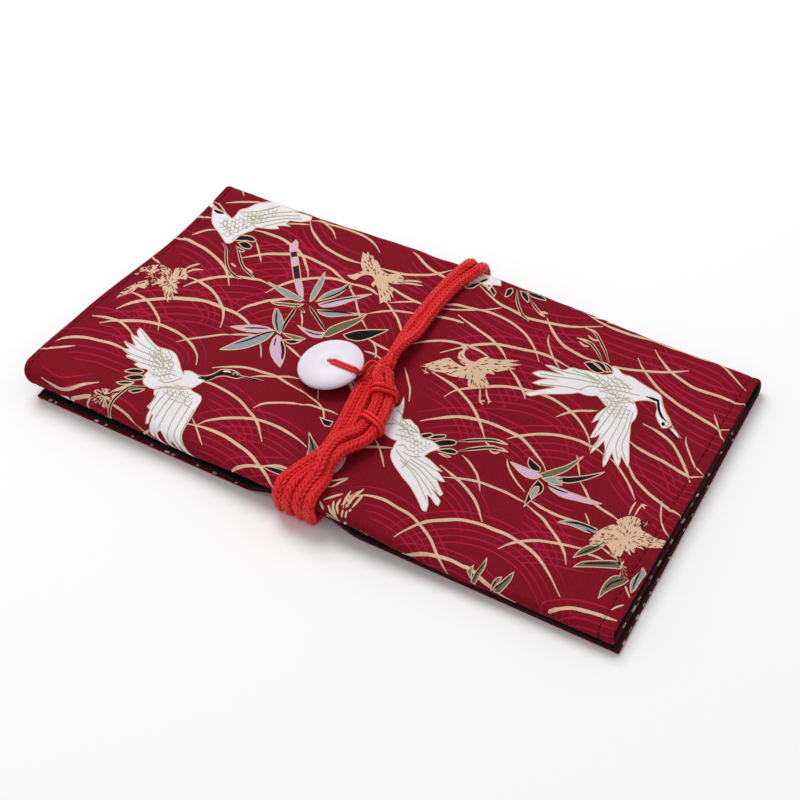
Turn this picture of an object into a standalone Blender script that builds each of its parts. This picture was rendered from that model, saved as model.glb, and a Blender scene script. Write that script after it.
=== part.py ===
"""A folded cotton case tied shut with a doubled cord and a pierced disc toggle.

Metres, +Z up. The long sides lie along X, and the free lower edge is on the -Y side. The origin
is on the surface that the case lies on, under the middle of its box.
"""

import math

import bmesh
import bpy
from mathutils import Matrix, Vector

MM = 0.001

# Cloth
CASE_LENGTH = 0.2105
CASE_WIDTH = 0.1205
OUTER_CLOTH = 0.00095
LINING_CLOTH = 0.00085
CLOTH_CLEARANCE = 0.0003
PANEL_CLEARANCE = 0.0004
INNER_PANEL_WIDTH = 0.108
LOWER_EDGE_SETBACK = 0.0002

# Cords
TIE_DIAMETER = 0.0032
TIE_CLEARANCE = 0.0003
WHIPPING_DIAMETER = 0.0012
WHIPPING_CLEARANCE = 0.0003
WHIPPING_PITCH = 0.0016
THIN_CORD_DIAMETER = 0.0011
KNOT_RADIUS = 0.0012

# Disc toggle
DISC_RADIUS = 0.0112
DISC_THICKNESS = 0.0054
DISC_RIM_THICKNESS = 0.0026
DISC_HOLE_RADIUS = 0.0014
DISC_DIMPLE_RADIUS = 0.0034
DISC_DIMPLE_DEPTH = 0.0007
DISC_PLACE = (-0.0183, -0.0110)
DISC_TILT = math.radians(8.5)
DISC_TILT_TOWARDS = math.radians(205)

# How the cloth lies
HUMP_HALF_WIDTH_NEAR = 0.0085
HUMP_HALF_WIDTH_FAR = 0.0050
HUMP_SHOULDER = 0.013
TENT_SHOULDER_NEAR = 0.050
TENT_SHOULDER_FAR = 0.078
LOOSE_CORNER_LIFT = 0.0056
LOOSE_CORNER_GAP = 0.0016
LOOSE_CORNER_START = -0.004
LOOSE_CORNER_LENGTH = 0.085
LOOSE_CORNER_DEPTH = 0.080
NEAR_FOLD_BOW = 0.0016
FAR_PULL_IN = 0.0016
FAR_PULL_HALF_WIDTH = 0.016
LOWER_LAYERS_SHIFT = 0.0030
LEFT_EDGE_WAVE = 0.0011
CORNER_FLARE = 0.0022

# Mesh density
COLUMNS = 22
INNER_ROWS = 5
NEAR_FOLD_ROWS = 6
TOP_ROWS = 7
FAR_FOLD_ROWS = 6
BOTTOM_ROWS = 8
MIDDLE_CROWDING = 0.55
DISC_STEPS = 36

# Worked out from the sizes above
PANEL = OUTER_CLOTH + CLOTH_CLEARANCE + LINING_CLOTH
HALF_CLEARANCE = CLOTH_CLEARANCE / 2
BOTTOM_LEVEL = OUTER_CLOTH + HALF_CLEARANCE
INNER_LEVEL = PANEL + PANEL_CLEARANCE + OUTER_CLOTH + HALF_CLEARANCE
TOP_LEVEL = 2 * (PANEL + PANEL_CLEARANCE) + LINING_CLOTH + HALF_CLEARANCE
OUTER_REACH = HALF_CLEARANCE + OUTER_CLOTH
HUMP_HEIGHT = TIE_DIAMETER + 2 * TIE_CLEARANCE
TIE_REST = TIE_CLEARANCE + TIE_DIAMETER / 2
UNDER_LEVEL = TIE_CLEARANCE + TIE_DIAMETER / 2
HALF_LENGTH = CASE_LENGTH / 2
HALF_WIDTH = CASE_WIDTH / 2

# The tie's route over the top, from the near edge to the far edge: x and y in millimetres, and
# how far the strand's middle is lifted off the cloth by what it lies on.
LEFT_STRAND = [
    (-4.6, -54, 0), (-3.0, -49, 0), (-1.4, -44, 0), (-1.4, -37, 0), (-2.4, -30, 0),
    (-4.0, -21.3, 0), (-5.0, -16, 0), (-5.6, -11, 0), (-5.6, -6.8, 0), (-5.0, -3.6, 0),
    (-4.3, -1.2, 0), (-3.5, 1.5, 0), (-3.4, 5, 0), (-4.3, 10.3, 0), (-4.9, 17, 0),
    (-5.2, 26, 0), (-5.2, 36, 0), (-4.6, 46, 0), (-3.6, 53, 0),
]
RIGHT_STRAND = [
    (-1.1, -54, 0), (0.6, -49, 0), (2.0, -44, 0), (2.0, -37, 0), (1.0, -30, 0),
    (-0.6, -21.3, 0), (-1.6, -16, 0), (-2.2, -11, 0), (-2.2, -6.8, 0), (-1.6, -3.6, 0.5),
    (-1.3, -1.2, 2.3), (-2.0, 1.5, 3.3), (-2.0, 5, 3.3), (-1.7, 10.3, 2.5), (-1.4, 17, 0.9),
    (-1.8, 26, 0.5), (-1.8, 36, 0.4), (-1.0, 46, 0), (1.0, 53, 0),
]
# The end loop's two sides, from the near edge to the loop's tip.
LOOP_LEFT = [
    (2.2, -54, 1.3), (2.2, -51.5, 2.6), (1.8, -49, 3.3), (1.2, -43, 3.4), (2.3, -37.5, 3.4),
    (4.2, -33.5, 2.5), (4.9, -30, 1.8), (4.9, -25.5, 1.7), (4.0, -19.8, 1.9),
    (3.1, -16.8, 2.5), (1.9, -14.2, 3.2), (0.4, -11.6, 3.5), (-1.3, -9.3, 3.6),
]
LOOP_TIP = (-1.6, -6.2, 3.6)
LOOP_RIGHT = [
    (5.4, -54, 0.1), (4.8, -51.5, 0.2), (4.2, -49, 0.9), (4.9, -43, 2.5), (6.3, -39.5, 2.3),
    (8.0, -36, 1.8), (9.0, -32.5, 1.7), (8.9, -27.5, 1.7), (8.6, -23.3, 1.7),
    (7.6, -19.3, 1.6), (6.5, -16.2, 1.5), (5.4, -13.4, 1.4), (4.0, -11.0, 1.6),
    (2.4, -8.9, 2.2), (1.0, -6.7, 3.0),
]
NEAR_EDGE_X = (-5.8, -2.1, 1.7, 5.5)
FAR_EDGE_X = (-2.8, 1.9)
SEWN_END_INSET = 0.009
# Where each whipping's middle crosses the loop's left side and its right side.
NEAR_WHIPPING_Y = (-0.0266, -0.0275)
FAR_WHIPPING_Y = (-0.0152, -0.0136)
KNOT_PLACE = (-0.0086, -0.0076)
# The thin cord from the knot to where it is tucked into the groove between the tie's strands:
# x and y in millimetres, and how far its middle is above a strand's that lies on the cloth.
THIN_CORD_TO_TIE = [
    (-8.3, -5.4, 0.3), (-7.7, -3.6, 1.7), (-6.6, -2.5, 2.6), (-5.2, -2.3, 2.7), (-4.0, -2.4, 2.6),
]


def smooth(value):
    """0 up to 0, 1 from 1, and an S between."""
    value = min(1.0, max(0.0, value))
    return value * value * (3 - 2 * value)


def between(start, end, share):
    return start + (end - start) * share


def across(y):
    """0 at the near edge, 1 at the far edge."""
    return min(1.0, max(0.0, (y + HALF_WIDTH) / CASE_WIDTH))


def hump(x, y):
    """How far the strands that run underneath lift the bottom panel."""
    half = between(HUMP_HALF_WIDTH_NEAR, HUMP_HALF_WIDTH_FAR, smooth(across(y) * 3))
    return HUMP_HEIGHT * smooth(1 - (abs(x) - half) / HUMP_SHOULDER)


def tent(x, y):
    """The panels above bridge the hump in a wider, flatter rise."""
    half = between(HUMP_HALF_WIDTH_NEAR, HUMP_HALF_WIDTH_FAR, smooth(across(y) * 3))
    shoulder = between(TENT_SHOULDER_NEAR, TENT_SHOULDER_FAR, smooth(across(y)))
    return HUMP_HEIGHT * smooth(1 - (abs(x) - half) / shoulder)


def looseness(x, y):
    """1 at the left end of the near fold, where the fold springs open, and 0 where it lies flat."""
    along = smooth((LOOSE_CORNER_START - x) / LOOSE_CORNER_LENGTH)
    return along * smooth(1 - (y + HALF_WIDTH - 0.012) / LOOSE_CORNER_DEPTH)


def bottom_height(x, y):
    return BOTTOM_LEVEL + hump(x, y)


def inner_height(x, y):
    return INNER_LEVEL + tent(x, y) + LOOSE_CORNER_GAP * looseness(x, y)


def top_height(x, y):
    return TOP_LEVEL + tent(x, y) + LOOSE_CORNER_LIFT * looseness(x, y)


def near_fold_edge(x):
    """The outermost y of the near fold's outer face."""
    return -HALF_WIDTH - NEAR_FOLD_BOW * math.exp(-(((x - 0.022) / 0.045) ** 2))


def far_fold_edge(x):
    """The outermost y of the far fold's outer face, drawn in where the tie crosses it."""
    return HALF_WIDTH - FAR_PULL_IN * math.exp(-((x / FAR_PULL_HALF_WIDTH) ** 2))


def near_fold(x):
    """The near fold's middle line at this x: its centre's y and z, and its radius."""
    edge = near_fold_edge(x) + OUTER_REACH
    radius = (top_height(x, edge) - inner_height(x, edge)) / 2
    middle = edge + radius
    top = top_height(x, middle)
    inner = inner_height(x, middle)
    return middle, (top + inner) / 2, (top - inner) / 2


def far_fold(x):
    """The far fold's middle line at this x: its centre's y and z, and its radius."""
    edge = far_fold_edge(x) - OUTER_REACH
    radius = (top_height(x, edge) - bottom_height(x, edge)) / 2
    middle = edge - radius
    top = top_height(x, middle)
    bottom = bottom_height(x, middle)
    return middle, (top + bottom) / 2, (top - bottom) / 2


def fold_section(x):
    """The middle line of the folded strip at this x, as (y, z) from the inner panel's free edge."""
    near_middle, near_z, near_radius = near_fold(x)
    far_middle, far_z, far_radius = far_fold(x)
    inner_end = near_fold_edge(x) + INNER_PANEL_WIDTH
    bottom_end = -HALF_WIDTH + LOWER_EDGE_SETBACK
    line = []
    for i in range(INNER_ROWS):
        y = between(inner_end, near_middle, i / INNER_ROWS)
        line.append((y, inner_height(x, y)))
    for i in range(NEAR_FOLD_ROWS):
        turn = math.pi * i / NEAR_FOLD_ROWS
        line.append(
            (near_middle - near_radius * math.sin(turn), near_z - near_radius * math.cos(turn))
        )
    for i in range(TOP_ROWS):
        y = between(near_middle, far_middle, i / TOP_ROWS)
        line.append((y, top_height(x, y)))
    for i in range(FAR_FOLD_ROWS):
        turn = math.pi * i / FAR_FOLD_ROWS
        line.append(
            (far_middle + far_radius * math.sin(turn), far_z + far_radius * math.cos(turn))
        )
    for i in range(BOTTOM_ROWS + 1):
        y = between(far_middle, bottom_end, i / BOTTOM_ROWS)
        line.append((y, bottom_height(x, y)))
    return line


def offset_line(line, distance):
    """The line moved sideways by a distance: positive is towards the outer cloth's side."""
    moved = []
    for i, (y, z) in enumerate(line):
        y0, z0 = line[max(i - 1, 0)]
        y1, z1 = line[min(i + 1, len(line) - 1)]
        length = math.hypot(y1 - y0, z1 - z0)
        moved.append((y + (z0 - z1) / length * distance, z + (y1 - y0) / length * distance))
    return moved


def end_shift(row, y, z, left):
    """How far this row's end lies beyond the top panel's, along X."""
    rows = INNER_ROWS + NEAR_FOLD_ROWS + TOP_ROWS + FAR_FOLD_ROWS + BOTTOM_ROWS
    fold_done = INNER_ROWS + NEAR_FOLD_ROWS
    top_done = fold_done + TOP_ROWS
    if row < INNER_ROWS:
        lower = 0.4
    elif row < fold_done:
        lower = 0.4 * (fold_done - row) / NEAR_FOLD_ROWS
    elif row <= top_done:
        lower = 0.0
    else:
        lower = smooth((row - top_done) / (rows - top_done) * 3)
    near = 1 - across(y)
    if left:
        wave = LEFT_EDGE_WAVE * math.sin(math.tau * (across(y) - 0.05))
        flare = CORNER_FLARE * smooth((near - 0.75) * 4) * smooth((z - 0.005) / 0.006)
        return -0.0018 + lower * LOWER_LAYERS_SHIFT * 0.9 - (wave + flare) * (1 - lower)
    return lower * LOWER_LAYERS_SHIFT * between(0.35, 1.0, near)


def cloth_sheet(name, distance):
    """The folded strip's surface, this far from the middle line."""
    rows = INNER_ROWS + NEAR_FOLD_ROWS + TOP_ROWS + FAR_FOLD_ROWS + BOTTOM_ROWS
    mesh = bpy.data.meshes.new(name)
    grid = bmesh.new()
    bmesh.ops.create_grid(grid, x_segments=COLUMNS, y_segments=rows, size=1)
    sections = {}
    for vertex in grid.verts:
        column = round((vertex.co.x + 1) / 2 * COLUMNS)
        row = round((vertex.co.y + 1) / 2 * rows)
        t = 2 * column / COLUMNS - 1
        if column not in sections:
            x = HALF_LENGTH * (MIDDLE_CROWDING * t + (1 - MIDDLE_CROWDING) * t**3)
            sections[column] = (x, fold_section(x), offset_line(fold_section(x), distance))
        x, middle, moved = sections[column]
        y, z = moved[row]
        share = smooth((abs(x) - HALF_LENGTH / 2) / (HALF_LENGTH / 2))
        x += end_shift(row, middle[row][0], middle[row][1], x < 0) * share
        vertex.co = (x, y, z)
    grid.to_mesh(mesh)
    grid.free()
    return bpy.data.objects.new(name, mesh)


def thicken(obj, thickness, outwards):
    """Gives an open sheet its thickness, on one side only."""
    solidify = obj.modifiers.new("thickness", "SOLIDIFY")
    solidify.thickness = thickness
    solidify.offset = 1 if outwards else -1
    solidify.use_even_offset = True


def material(obj, colour, roughness, coat=0.0):
    """A plain finish in the object's own colour."""
    made = bpy.data.materials.new(obj.name)
    made.use_nodes = True
    shader = made.node_tree.nodes["Principled BSDF"]
    shader.inputs["Base Color"].default_value = (*colour, 1)
    shader.inputs["Roughness"].default_value = roughness
    shader.inputs["Metallic"].default_value = 0.0
    shader.inputs["Coat Weight"].default_value = coat
    obj.data.materials.append(made)


def smooth_line(points):
    """These points with one more between each two, on a smooth curve through them."""
    curve = [points[0]]
    for i in range(len(points) - 1):
        before = points[max(i - 1, 0)]
        start = points[i]
        end = points[i + 1]
        after = points[min(i + 2, len(points) - 1)]
        curve += [(9 * (start + end) - before - after) / 16, end]
    return curve


def tube(name, points, diameter, resolution=2):
    """A cord of this diameter along these points."""
    data = bpy.data.curves.new(name, "CURVE")
    data.dimensions = "3D"
    line = data.splines.new("POLY")
    line.points.add(len(points) - 1)
    for point, place in zip(line.points, points):
        point.co = (*place, 1)
    data.bevel_depth = diameter / 2
    data.bevel_resolution = resolution
    data.use_fill_caps = True
    return bpy.data.objects.new(name, data)


def on_top(point):
    """A route point over the top panel, in metres."""
    x, y, lift = (value * MM for value in point)
    return Vector((x, y, top_height(x, y) + OUTER_REACH + TIE_REST + lift))


def round_fold(x, fold, outwards, degrees):
    """A point of a strand's middle as it goes round a fold, at this angle up from level."""
    middle, height, radius = fold
    reach = radius + OUTER_REACH + TIE_REST + TIE_CLEARANCE
    turn = math.radians(degrees)
    return Vector((x, middle + outwards * reach * math.cos(turn), height + reach * math.sin(turn)))


def near_turn(x):
    """A strand's way round the near edges, from the underside to the top."""
    fold = near_fold(x)
    return [
        Vector((x, -HALF_WIDTH + 0.0055, UNDER_LEVEL)),
        Vector((x, -HALF_WIDTH + 0.0012, UNDER_LEVEL + 0.0001)),
        Vector((x, -HALF_WIDTH - TIE_REST * 0.75, HUMP_HEIGHT - TIE_REST * 0.75)),
        round_fold(x, fold, -1, -35),
        round_fold(x, fold, -1, 10),
        round_fold(x, fold, -1, 50),
        round_fold(x, fold, -1, 88),
    ]


def far_turn(x):
    """A strand's way round the far fold, from the top to the underside."""
    fold = far_fold(x)
    return [
        round_fold(x, fold, 1, 85),
        round_fold(x, fold, 1, 50),
        round_fold(x, fold, 1, 15),
        round_fold(x, fold, 1, -20),
        Vector((x, fold[0] + TIE_DIAMETER, UNDER_LEVEL + 0.0006)),
        Vector((x, fold[0] - TIE_DIAMETER, UNDER_LEVEL)),
    ]


def under_run(far_x, near_x):
    """A strand's straight way under the bottom panel, from far to near."""
    return [
        Vector((between(far_x, near_x, share), between(HALF_WIDTH, -HALF_WIDTH, share), UNDER_LEVEL))
        for share in (0.25, 0.5, 0.75)
    ]


def strand(over, sewn_x, far_x, near_x, loop_side):
    """One side of the doubled tie, from its sewn end to the last point before the loop's tip."""
    start = near_turn(sewn_x)
    start[0].y = -HALF_WIDTH + SEWN_END_INSET
    return (
        start
        + [on_top(point) for point in over]
        + far_turn(far_x)
        + under_run(far_x, near_x)
        + near_turn(near_x)
        + [on_top(point) for point in loop_side]
    )


def tie_route():
    """The whole tie: out along one strand, through the loop's tip and back along the other."""
    outward = strand(LEFT_STRAND, NEAR_EDGE_X[0] * MM, FAR_EDGE_X[0] * MM, NEAR_EDGE_X[2] * MM, LOOP_LEFT)
    back = strand(RIGHT_STRAND, NEAR_EDGE_X[1] * MM, FAR_EDGE_X[1] * MM, NEAR_EDGE_X[3] * MM, LOOP_RIGHT)
    return outward + [on_top(LOOP_TIP)] + back[::-1]


def place_on(points, y):
    """Where a route over the top crosses this y."""
    for start, end in zip(points, points[1:]):
        if min(start.y, end.y) <= y <= max(start.y, end.y):
            return start.lerp(end, (y - start.y) / (end.y - start.y))
    raise ValueError("the route doesn't cross this y")


def whipping_route(left_y, right_y):
    """Two turns of thin cord round both sides of the end loop."""
    left_side = [on_top(point) for point in LOOP_LEFT]
    right_side = [on_top(point) for point in LOOP_RIGHT]
    radius = TIE_DIAMETER / 2 + WHIPPING_CLEARANCE + WHIPPING_DIAMETER / 2
    turns = [(right_side, right_y, -90 + 36 * i) for i in range(6)]
    turns += [(left_side, left_y, 90 + 36 * i) for i in range(6)]
    route = []
    count = 2 * len(turns)
    for i in range(count + 1):
        side, y, degrees = turns[i % len(turns)]
        shift = (i / count - 0.5) * 2 * WHIPPING_PITCH
        left = place_on(left_side, left_y + shift)
        right = place_on(right_side, right_y + shift)
        sideways = (right - left).normalized()
        up = sideways.cross(Vector((0, 0, 1)).cross(sideways)).normalized()
        turn = math.radians(degrees)
        centre = place_on(side, y + shift)
        route.append(centre + radius * (sideways * math.cos(turn) + up * math.sin(turn)))
    return route


def disc_frame():
    """Where the disc lies: its centre and the way its top face looks."""
    x, y = DISC_PLACE
    towards = Vector((math.cos(DISC_TILT_TOWARDS), math.sin(DISC_TILT_TOWARDS), 0))
    normal = (Vector((0, 0, 1)) * math.cos(DISC_TILT) + towards * math.sin(DISC_TILT)).normalized()
    rise = DISC_THICKNESS / 2 + 0.0012
    return Vector((x, y, top_height(x, y) + OUTER_REACH + rise)), normal


def disc():
    """A turned, slightly domed disc with a small hole in a shallow dimple."""
    profile = []
    for side in (1, -1):
        radii = [DISC_HOLE_RADIUS, DISC_DIMPLE_RADIUS * 0.7, DISC_DIMPLE_RADIUS, 0.0060, 0.0086, 0.0102]
        face = []
        for radius in radii:
            dome = math.sqrt(max(0.0, 1 - (radius / DISC_RADIUS) ** 2))
            height = between(DISC_RIM_THICKNESS, DISC_THICKNESS, dome) / 2
            height -= DISC_DIMPLE_DEPTH * smooth(1 - (radius - DISC_HOLE_RADIUS) / DISC_DIMPLE_RADIUS)
            face.append((radius, side * height))
        profile += face if side > 0 else face[::-1]
        if side > 0:
            profile += [
                (DISC_RADIUS - 0.0002, DISC_RIM_THICKNESS * 0.32),
                (DISC_RADIUS, 0.0),
                (DISC_RADIUS - 0.0002, -DISC_RIM_THICKNESS * 0.32),
            ]
    mesh = bpy.data.meshes.new("disc_toggle")
    ring = bmesh.new()
    corners = [ring.verts.new((radius, 0, height)) for radius, height in profile]
    for start, end in zip(corners, corners[1:] + corners[:1]):
        ring.edges.new((start, end))
    ring.to_mesh(mesh)
    ring.free()
    obj = bpy.data.objects.new("disc_toggle", mesh)
    screw = obj.modifiers.new("turning", "SCREW")
    screw.axis = "Z"
    screw.steps = DISC_STEPS
    screw.render_steps = DISC_STEPS
    screw.use_merge_vertices = True
    screw.merge_threshold = 0.00001
    screw.use_smooth_shade = True
    centre, normal = disc_frame()
    turn = Vector((0, 0, 1)).rotation_difference(normal).to_matrix().to_4x4()
    obj.matrix_world = Matrix.Translation(centre) @ turn
    return obj


def knot_place():
    """The small knot lies on the cloth, under the disc's raised rim."""
    x, y = KNOT_PLACE
    return Vector((x, y, top_height(x, y) + OUTER_REACH + KNOT_RADIUS + CLOTH_CLEARANCE))


def thin_cord_route():
    """Through the disc's hole and back to the knot, then on to the tie."""
    centre, normal = disc_frame()
    knot = knot_place()
    face = DISC_THICKNESS / 2 + THIN_CORD_DIAMETER / 2
    towards = knot - centre
    towards -= normal * towards.dot(normal)
    towards.normalize()
    rim = centre + towards * (DISC_RADIUS + THIN_CORD_DIAMETER / 2 + CLOTH_CLEARANCE)
    return [
        knot,
        centre + towards * 0.0072 - normal * (face + 0.0002),
        centre + towards * 0.0035 - normal * (face + 0.0004),
        centre + towards * 0.0006 - normal * (face - 0.0006),
        centre,
        centre + towards * 0.0004 + normal * (face - 0.0006),
        centre + towards * 0.0035 + normal * (face + 0.0003),
        centre + towards * 0.0075 + normal * (face + 0.0002),
        rim + normal * 0.0022 - towards * 0.0003,
        rim - normal * 0.0010,
        knot + Vector((0.0003, 0.0004, 0.0003)),
        *(on_top(point) for point in THIN_CORD_TO_TIE),
    ]


def toggle_cord(cutters):
    """The thin cord as one solid with its knot."""
    curve = tube("thin_cord_guide", smooth_line(thin_cord_route()), THIN_CORD_DIAMETER)
    bpy.context.scene.collection.objects.link(curve)
    graph = bpy.context.evaluated_depsgraph_get()
    mesh = bpy.data.meshes.new_from_object(curve.evaluated_get(graph))
    bpy.data.objects.remove(curve)
    weld = bmesh.new()
    weld.from_mesh(mesh)
    bmesh.ops.remove_doubles(weld, verts=weld.verts, dist=0.00001)
    weld.to_mesh(mesh)
    weld.free()
    obj = bpy.data.objects.new("toggle_cord", mesh)

    ball = bmesh.new()
    bmesh.ops.create_icosphere(ball, subdivisions=2, radius=KNOT_RADIUS)
    bmesh.ops.translate(ball, verts=ball.verts, vec=knot_place())
    ball_mesh = bpy.data.meshes.new("knot")
    ball.to_mesh(ball_mesh)
    ball.free()
    knot = bpy.data.objects.new("knot", ball_mesh)
    knot.hide_render = True
    knot.display_type = "WIRE"
    cutters.objects.link(knot)

    join = obj.modifiers.new("knot", "BOOLEAN")
    join.operation = "UNION"
    join.solver = "EXACT"
    join.use_self = True
    join.object = knot
    return obj


def box_middle(objects):
    """The middle, in plan, of the box round these objects."""
    bpy.context.view_layer.update()
    graph = bpy.context.evaluated_depsgraph_get()
    points = []
    for obj in objects:
        evaluated = obj.evaluated_get(graph)
        points += [vertex.co.copy() for vertex in evaluated.to_mesh().vertices]
        evaluated.to_mesh_clear()
    xs = [point.x for point in points]
    ys = [point.y for point in points]
    return Vector(((min(xs) + max(xs)) / 2, (min(ys) + max(ys)) / 2, 0))


def clear_scene():
    for obj in list(bpy.data.objects):
        bpy.data.objects.remove(obj)


def main():
    clear_scene()
    parts = bpy.data.collections.new("tied_cloth_case")
    bpy.context.scene.collection.children.link(parts)
    cutters = bpy.data.collections.new("shapes_joined_in")
    bpy.context.scene.collection.children.link(cutters)

    outer = cloth_sheet("outer_cloth", HALF_CLEARANCE)
    thicken(outer, OUTER_CLOTH, outwards=True)
    material(outer, (0.26, 0.012, 0.024), 0.85)

    lining = cloth_sheet("lining", -HALF_CLEARANCE)
    thicken(lining, LINING_CLOTH, outwards=False)
    material(lining, (0.008, 0.008, 0.010), 0.9)

    tie = tube("tie_cord", tie_route(), TIE_DIAMETER)
    material(tie, (0.72, 0.018, 0.016), 0.5)

    whippings = []
    for name, (left_y, right_y) in (
        ("near_whipping", NEAR_WHIPPING_Y),
        ("far_whipping", FAR_WHIPPING_Y),
    ):
        whipping = tube(name, whipping_route(left_y, right_y), WHIPPING_DIAMETER)
        material(whipping, (0.72, 0.018, 0.016), 0.45)
        whippings.append(whipping)

    toggle = disc()
    material(toggle, (0.82, 0.79, 0.84), 0.12, coat=0.5)

    thin = toggle_cord(cutters)
    material(thin, (0.66, 0.016, 0.016), 0.5)

    for obj in (outer, lining, tie, *whippings, toggle, thin):
        parts.objects.link(obj)
    middle = box_middle((outer, lining, tie))
    for obj in (*parts.objects, *cutters.objects):
        obj.location -= middle


main()
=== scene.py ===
"""Dresses the folded cloth case: its cloth, print, braided tie, disc, light and camera.

Lengths are in metres unless a name or a comment says otherwise. The shapes are worked out in the
frame of the part's source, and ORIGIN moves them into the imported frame.
"""

import math

import bmesh
import bpy
import numpy as np
from mathutils import Matrix, Vector
from mathutils.geometry import delaunay_2d_cdt


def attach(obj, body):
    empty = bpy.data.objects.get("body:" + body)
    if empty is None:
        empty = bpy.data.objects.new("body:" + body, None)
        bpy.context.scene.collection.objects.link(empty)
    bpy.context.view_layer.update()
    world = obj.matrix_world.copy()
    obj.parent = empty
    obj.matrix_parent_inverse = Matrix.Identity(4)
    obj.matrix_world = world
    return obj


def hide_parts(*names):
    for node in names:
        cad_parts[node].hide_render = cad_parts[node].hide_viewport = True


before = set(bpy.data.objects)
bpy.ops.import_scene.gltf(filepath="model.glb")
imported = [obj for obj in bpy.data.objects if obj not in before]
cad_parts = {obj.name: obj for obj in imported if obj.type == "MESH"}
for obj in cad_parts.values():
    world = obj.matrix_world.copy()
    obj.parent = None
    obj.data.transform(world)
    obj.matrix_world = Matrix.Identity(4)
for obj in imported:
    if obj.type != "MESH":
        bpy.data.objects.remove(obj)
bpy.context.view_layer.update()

MM = 0.001
ORIGIN = np.array((0.0003914, 0.0015092, 0.0))

# -------------------------------------------------------------- camera

CAMERA_PLACE = Vector((0.1863146, -0.3155075, 0.3810837))
CAMERA_YAW = -0.5270181
CAMERA_PITCH = 0.8075554
CAMERA_ROLL = -0.0146452
FOCAL_PIXELS = 1578.285
PICTURE_PIXELS = 800
SENSOR_WIDTH_MM = 36


def camera_axes():
    """The camera's right, up and forward directions."""
    forward = Vector((
        math.sin(CAMERA_YAW) * math.cos(CAMERA_PITCH),
        math.cos(CAMERA_YAW) * math.cos(CAMERA_PITCH),
        -math.sin(CAMERA_PITCH),
    ))
    level = Vector((math.cos(CAMERA_YAW), -math.sin(CAMERA_YAW), 0))
    upright = level.cross(forward)
    cos, sin = math.cos(CAMERA_ROLL), math.sin(CAMERA_ROLL)
    return cos * level + sin * upright, cos * upright - sin * level, forward


def add_camera():
    right, up, forward = camera_axes()
    data = bpy.data.cameras.new("camera")
    data.lens = SENSOR_WIDTH_MM * FOCAL_PIXELS / PICTURE_PIXELS
    data.sensor_width = SENSOR_WIDTH_MM
    camera = bpy.data.objects.new("camera", data)
    turn = Matrix((right, up, -forward)).transposed().to_4x4()
    camera.matrix_world = Matrix.Translation(CAMERA_PLACE) @ turn
    bpy.context.scene.collection.objects.link(camera)
    bpy.context.scene.camera = camera


add_camera()

# -------------------------------------------------------------- the case's shape, as in part.py

CASE_LENGTH = 0.2105
CASE_WIDTH = 0.1205
OUTER_CLOTH = 0.00095
LINING_CLOTH = 0.00085
CLOTH_CLEARANCE = 0.0003
PANEL_CLEARANCE = 0.0004
INNER_PANEL_WIDTH = 0.108
LOWER_EDGE_SETBACK = 0.0002
TIE_DIAMETER = 0.0032
TIE_CLEARANCE = 0.0003
HUMP_HALF_WIDTH_NEAR = 0.0085
HUMP_HALF_WIDTH_FAR = 0.0050
HUMP_SHOULDER = 0.013
TENT_SHOULDER_NEAR = 0.050
TENT_SHOULDER_FAR = 0.078
LOOSE_CORNER_LIFT = 0.0056
LOOSE_CORNER_GAP = 0.0016
LOOSE_CORNER_START = -0.004
LOOSE_CORNER_LENGTH = 0.085
LOOSE_CORNER_INSET = 0.012
LOOSE_CORNER_DEPTH = 0.080
NEAR_FOLD_BOW = 0.0016
NEAR_FOLD_BOW_PLACE = 0.022
NEAR_FOLD_BOW_HALF_WIDTH = 0.045
FAR_PULL_IN = 0.0016
FAR_PULL_HALF_WIDTH = 0.016
LOWER_LAYERS_SHIFT = 0.0030
# How much of that shift the inner panel takes, the left end, and the right end's far corner.
INNER_SHIFT_SHARE, LEFT_SHIFT_SHARE, FAR_SHIFT_SHARE = 0.4, 0.9, 0.35
LEFT_END_SET_BACK = 0.0018
LEFT_EDGE_WAVE = 0.0011
LEFT_EDGE_WAVE_START = 0.05
CORNER_FLARE = 0.0022
# From how near the near edge the corner flares, from which level, and over which height.
FLARE_START, FLARE_LEVEL, FLARE_RISE = 0.75, 0.005, 0.006
# Row numbers along the folded strip, from the inner panel's free edge to the bottom panel's.
NEAR_FOLD_ROW, TOP_ROW, FAR_FOLD_ROW, BOTTOM_ROW, LAST_ROW = 5, 11, 18, 24, 32

PANEL = OUTER_CLOTH + CLOTH_CLEARANCE + LINING_CLOTH
HALF_CLEARANCE = CLOTH_CLEARANCE / 2
BOTTOM_LEVEL = OUTER_CLOTH + HALF_CLEARANCE
INNER_LEVEL = PANEL + PANEL_CLEARANCE + OUTER_CLOTH + HALF_CLEARANCE
TOP_LEVEL = 2 * (PANEL + PANEL_CLEARANCE) + LINING_CLOTH + HALF_CLEARANCE
OUTER_REACH = HALF_CLEARANCE + OUTER_CLOTH
HUMP_HEIGHT = TIE_DIAMETER + 2 * TIE_CLEARANCE
TIE_REST = TIE_CLEARANCE + TIE_DIAMETER / 2
HALF_LENGTH = CASE_LENGTH / 2
HALF_WIDTH = CASE_WIDTH / 2


def smooth(value):
    """0 up to 0, 1 from 1, and an S between."""
    value = np.clip(value, 0.0, 1.0)
    return value * value * (3 - 2 * value)


def between(start, end, share):
    return start + (end - start) * share


def across(y):
    """0 at the near edge, 1 at the far edge."""
    return np.clip((y + HALF_WIDTH) / CASE_WIDTH, 0.0, 1.0)


def hump(x, y):
    half = between(HUMP_HALF_WIDTH_NEAR, HUMP_HALF_WIDTH_FAR, smooth(across(y) * 3))
    return HUMP_HEIGHT * smooth(1 - (np.abs(x) - half) / HUMP_SHOULDER)


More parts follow.
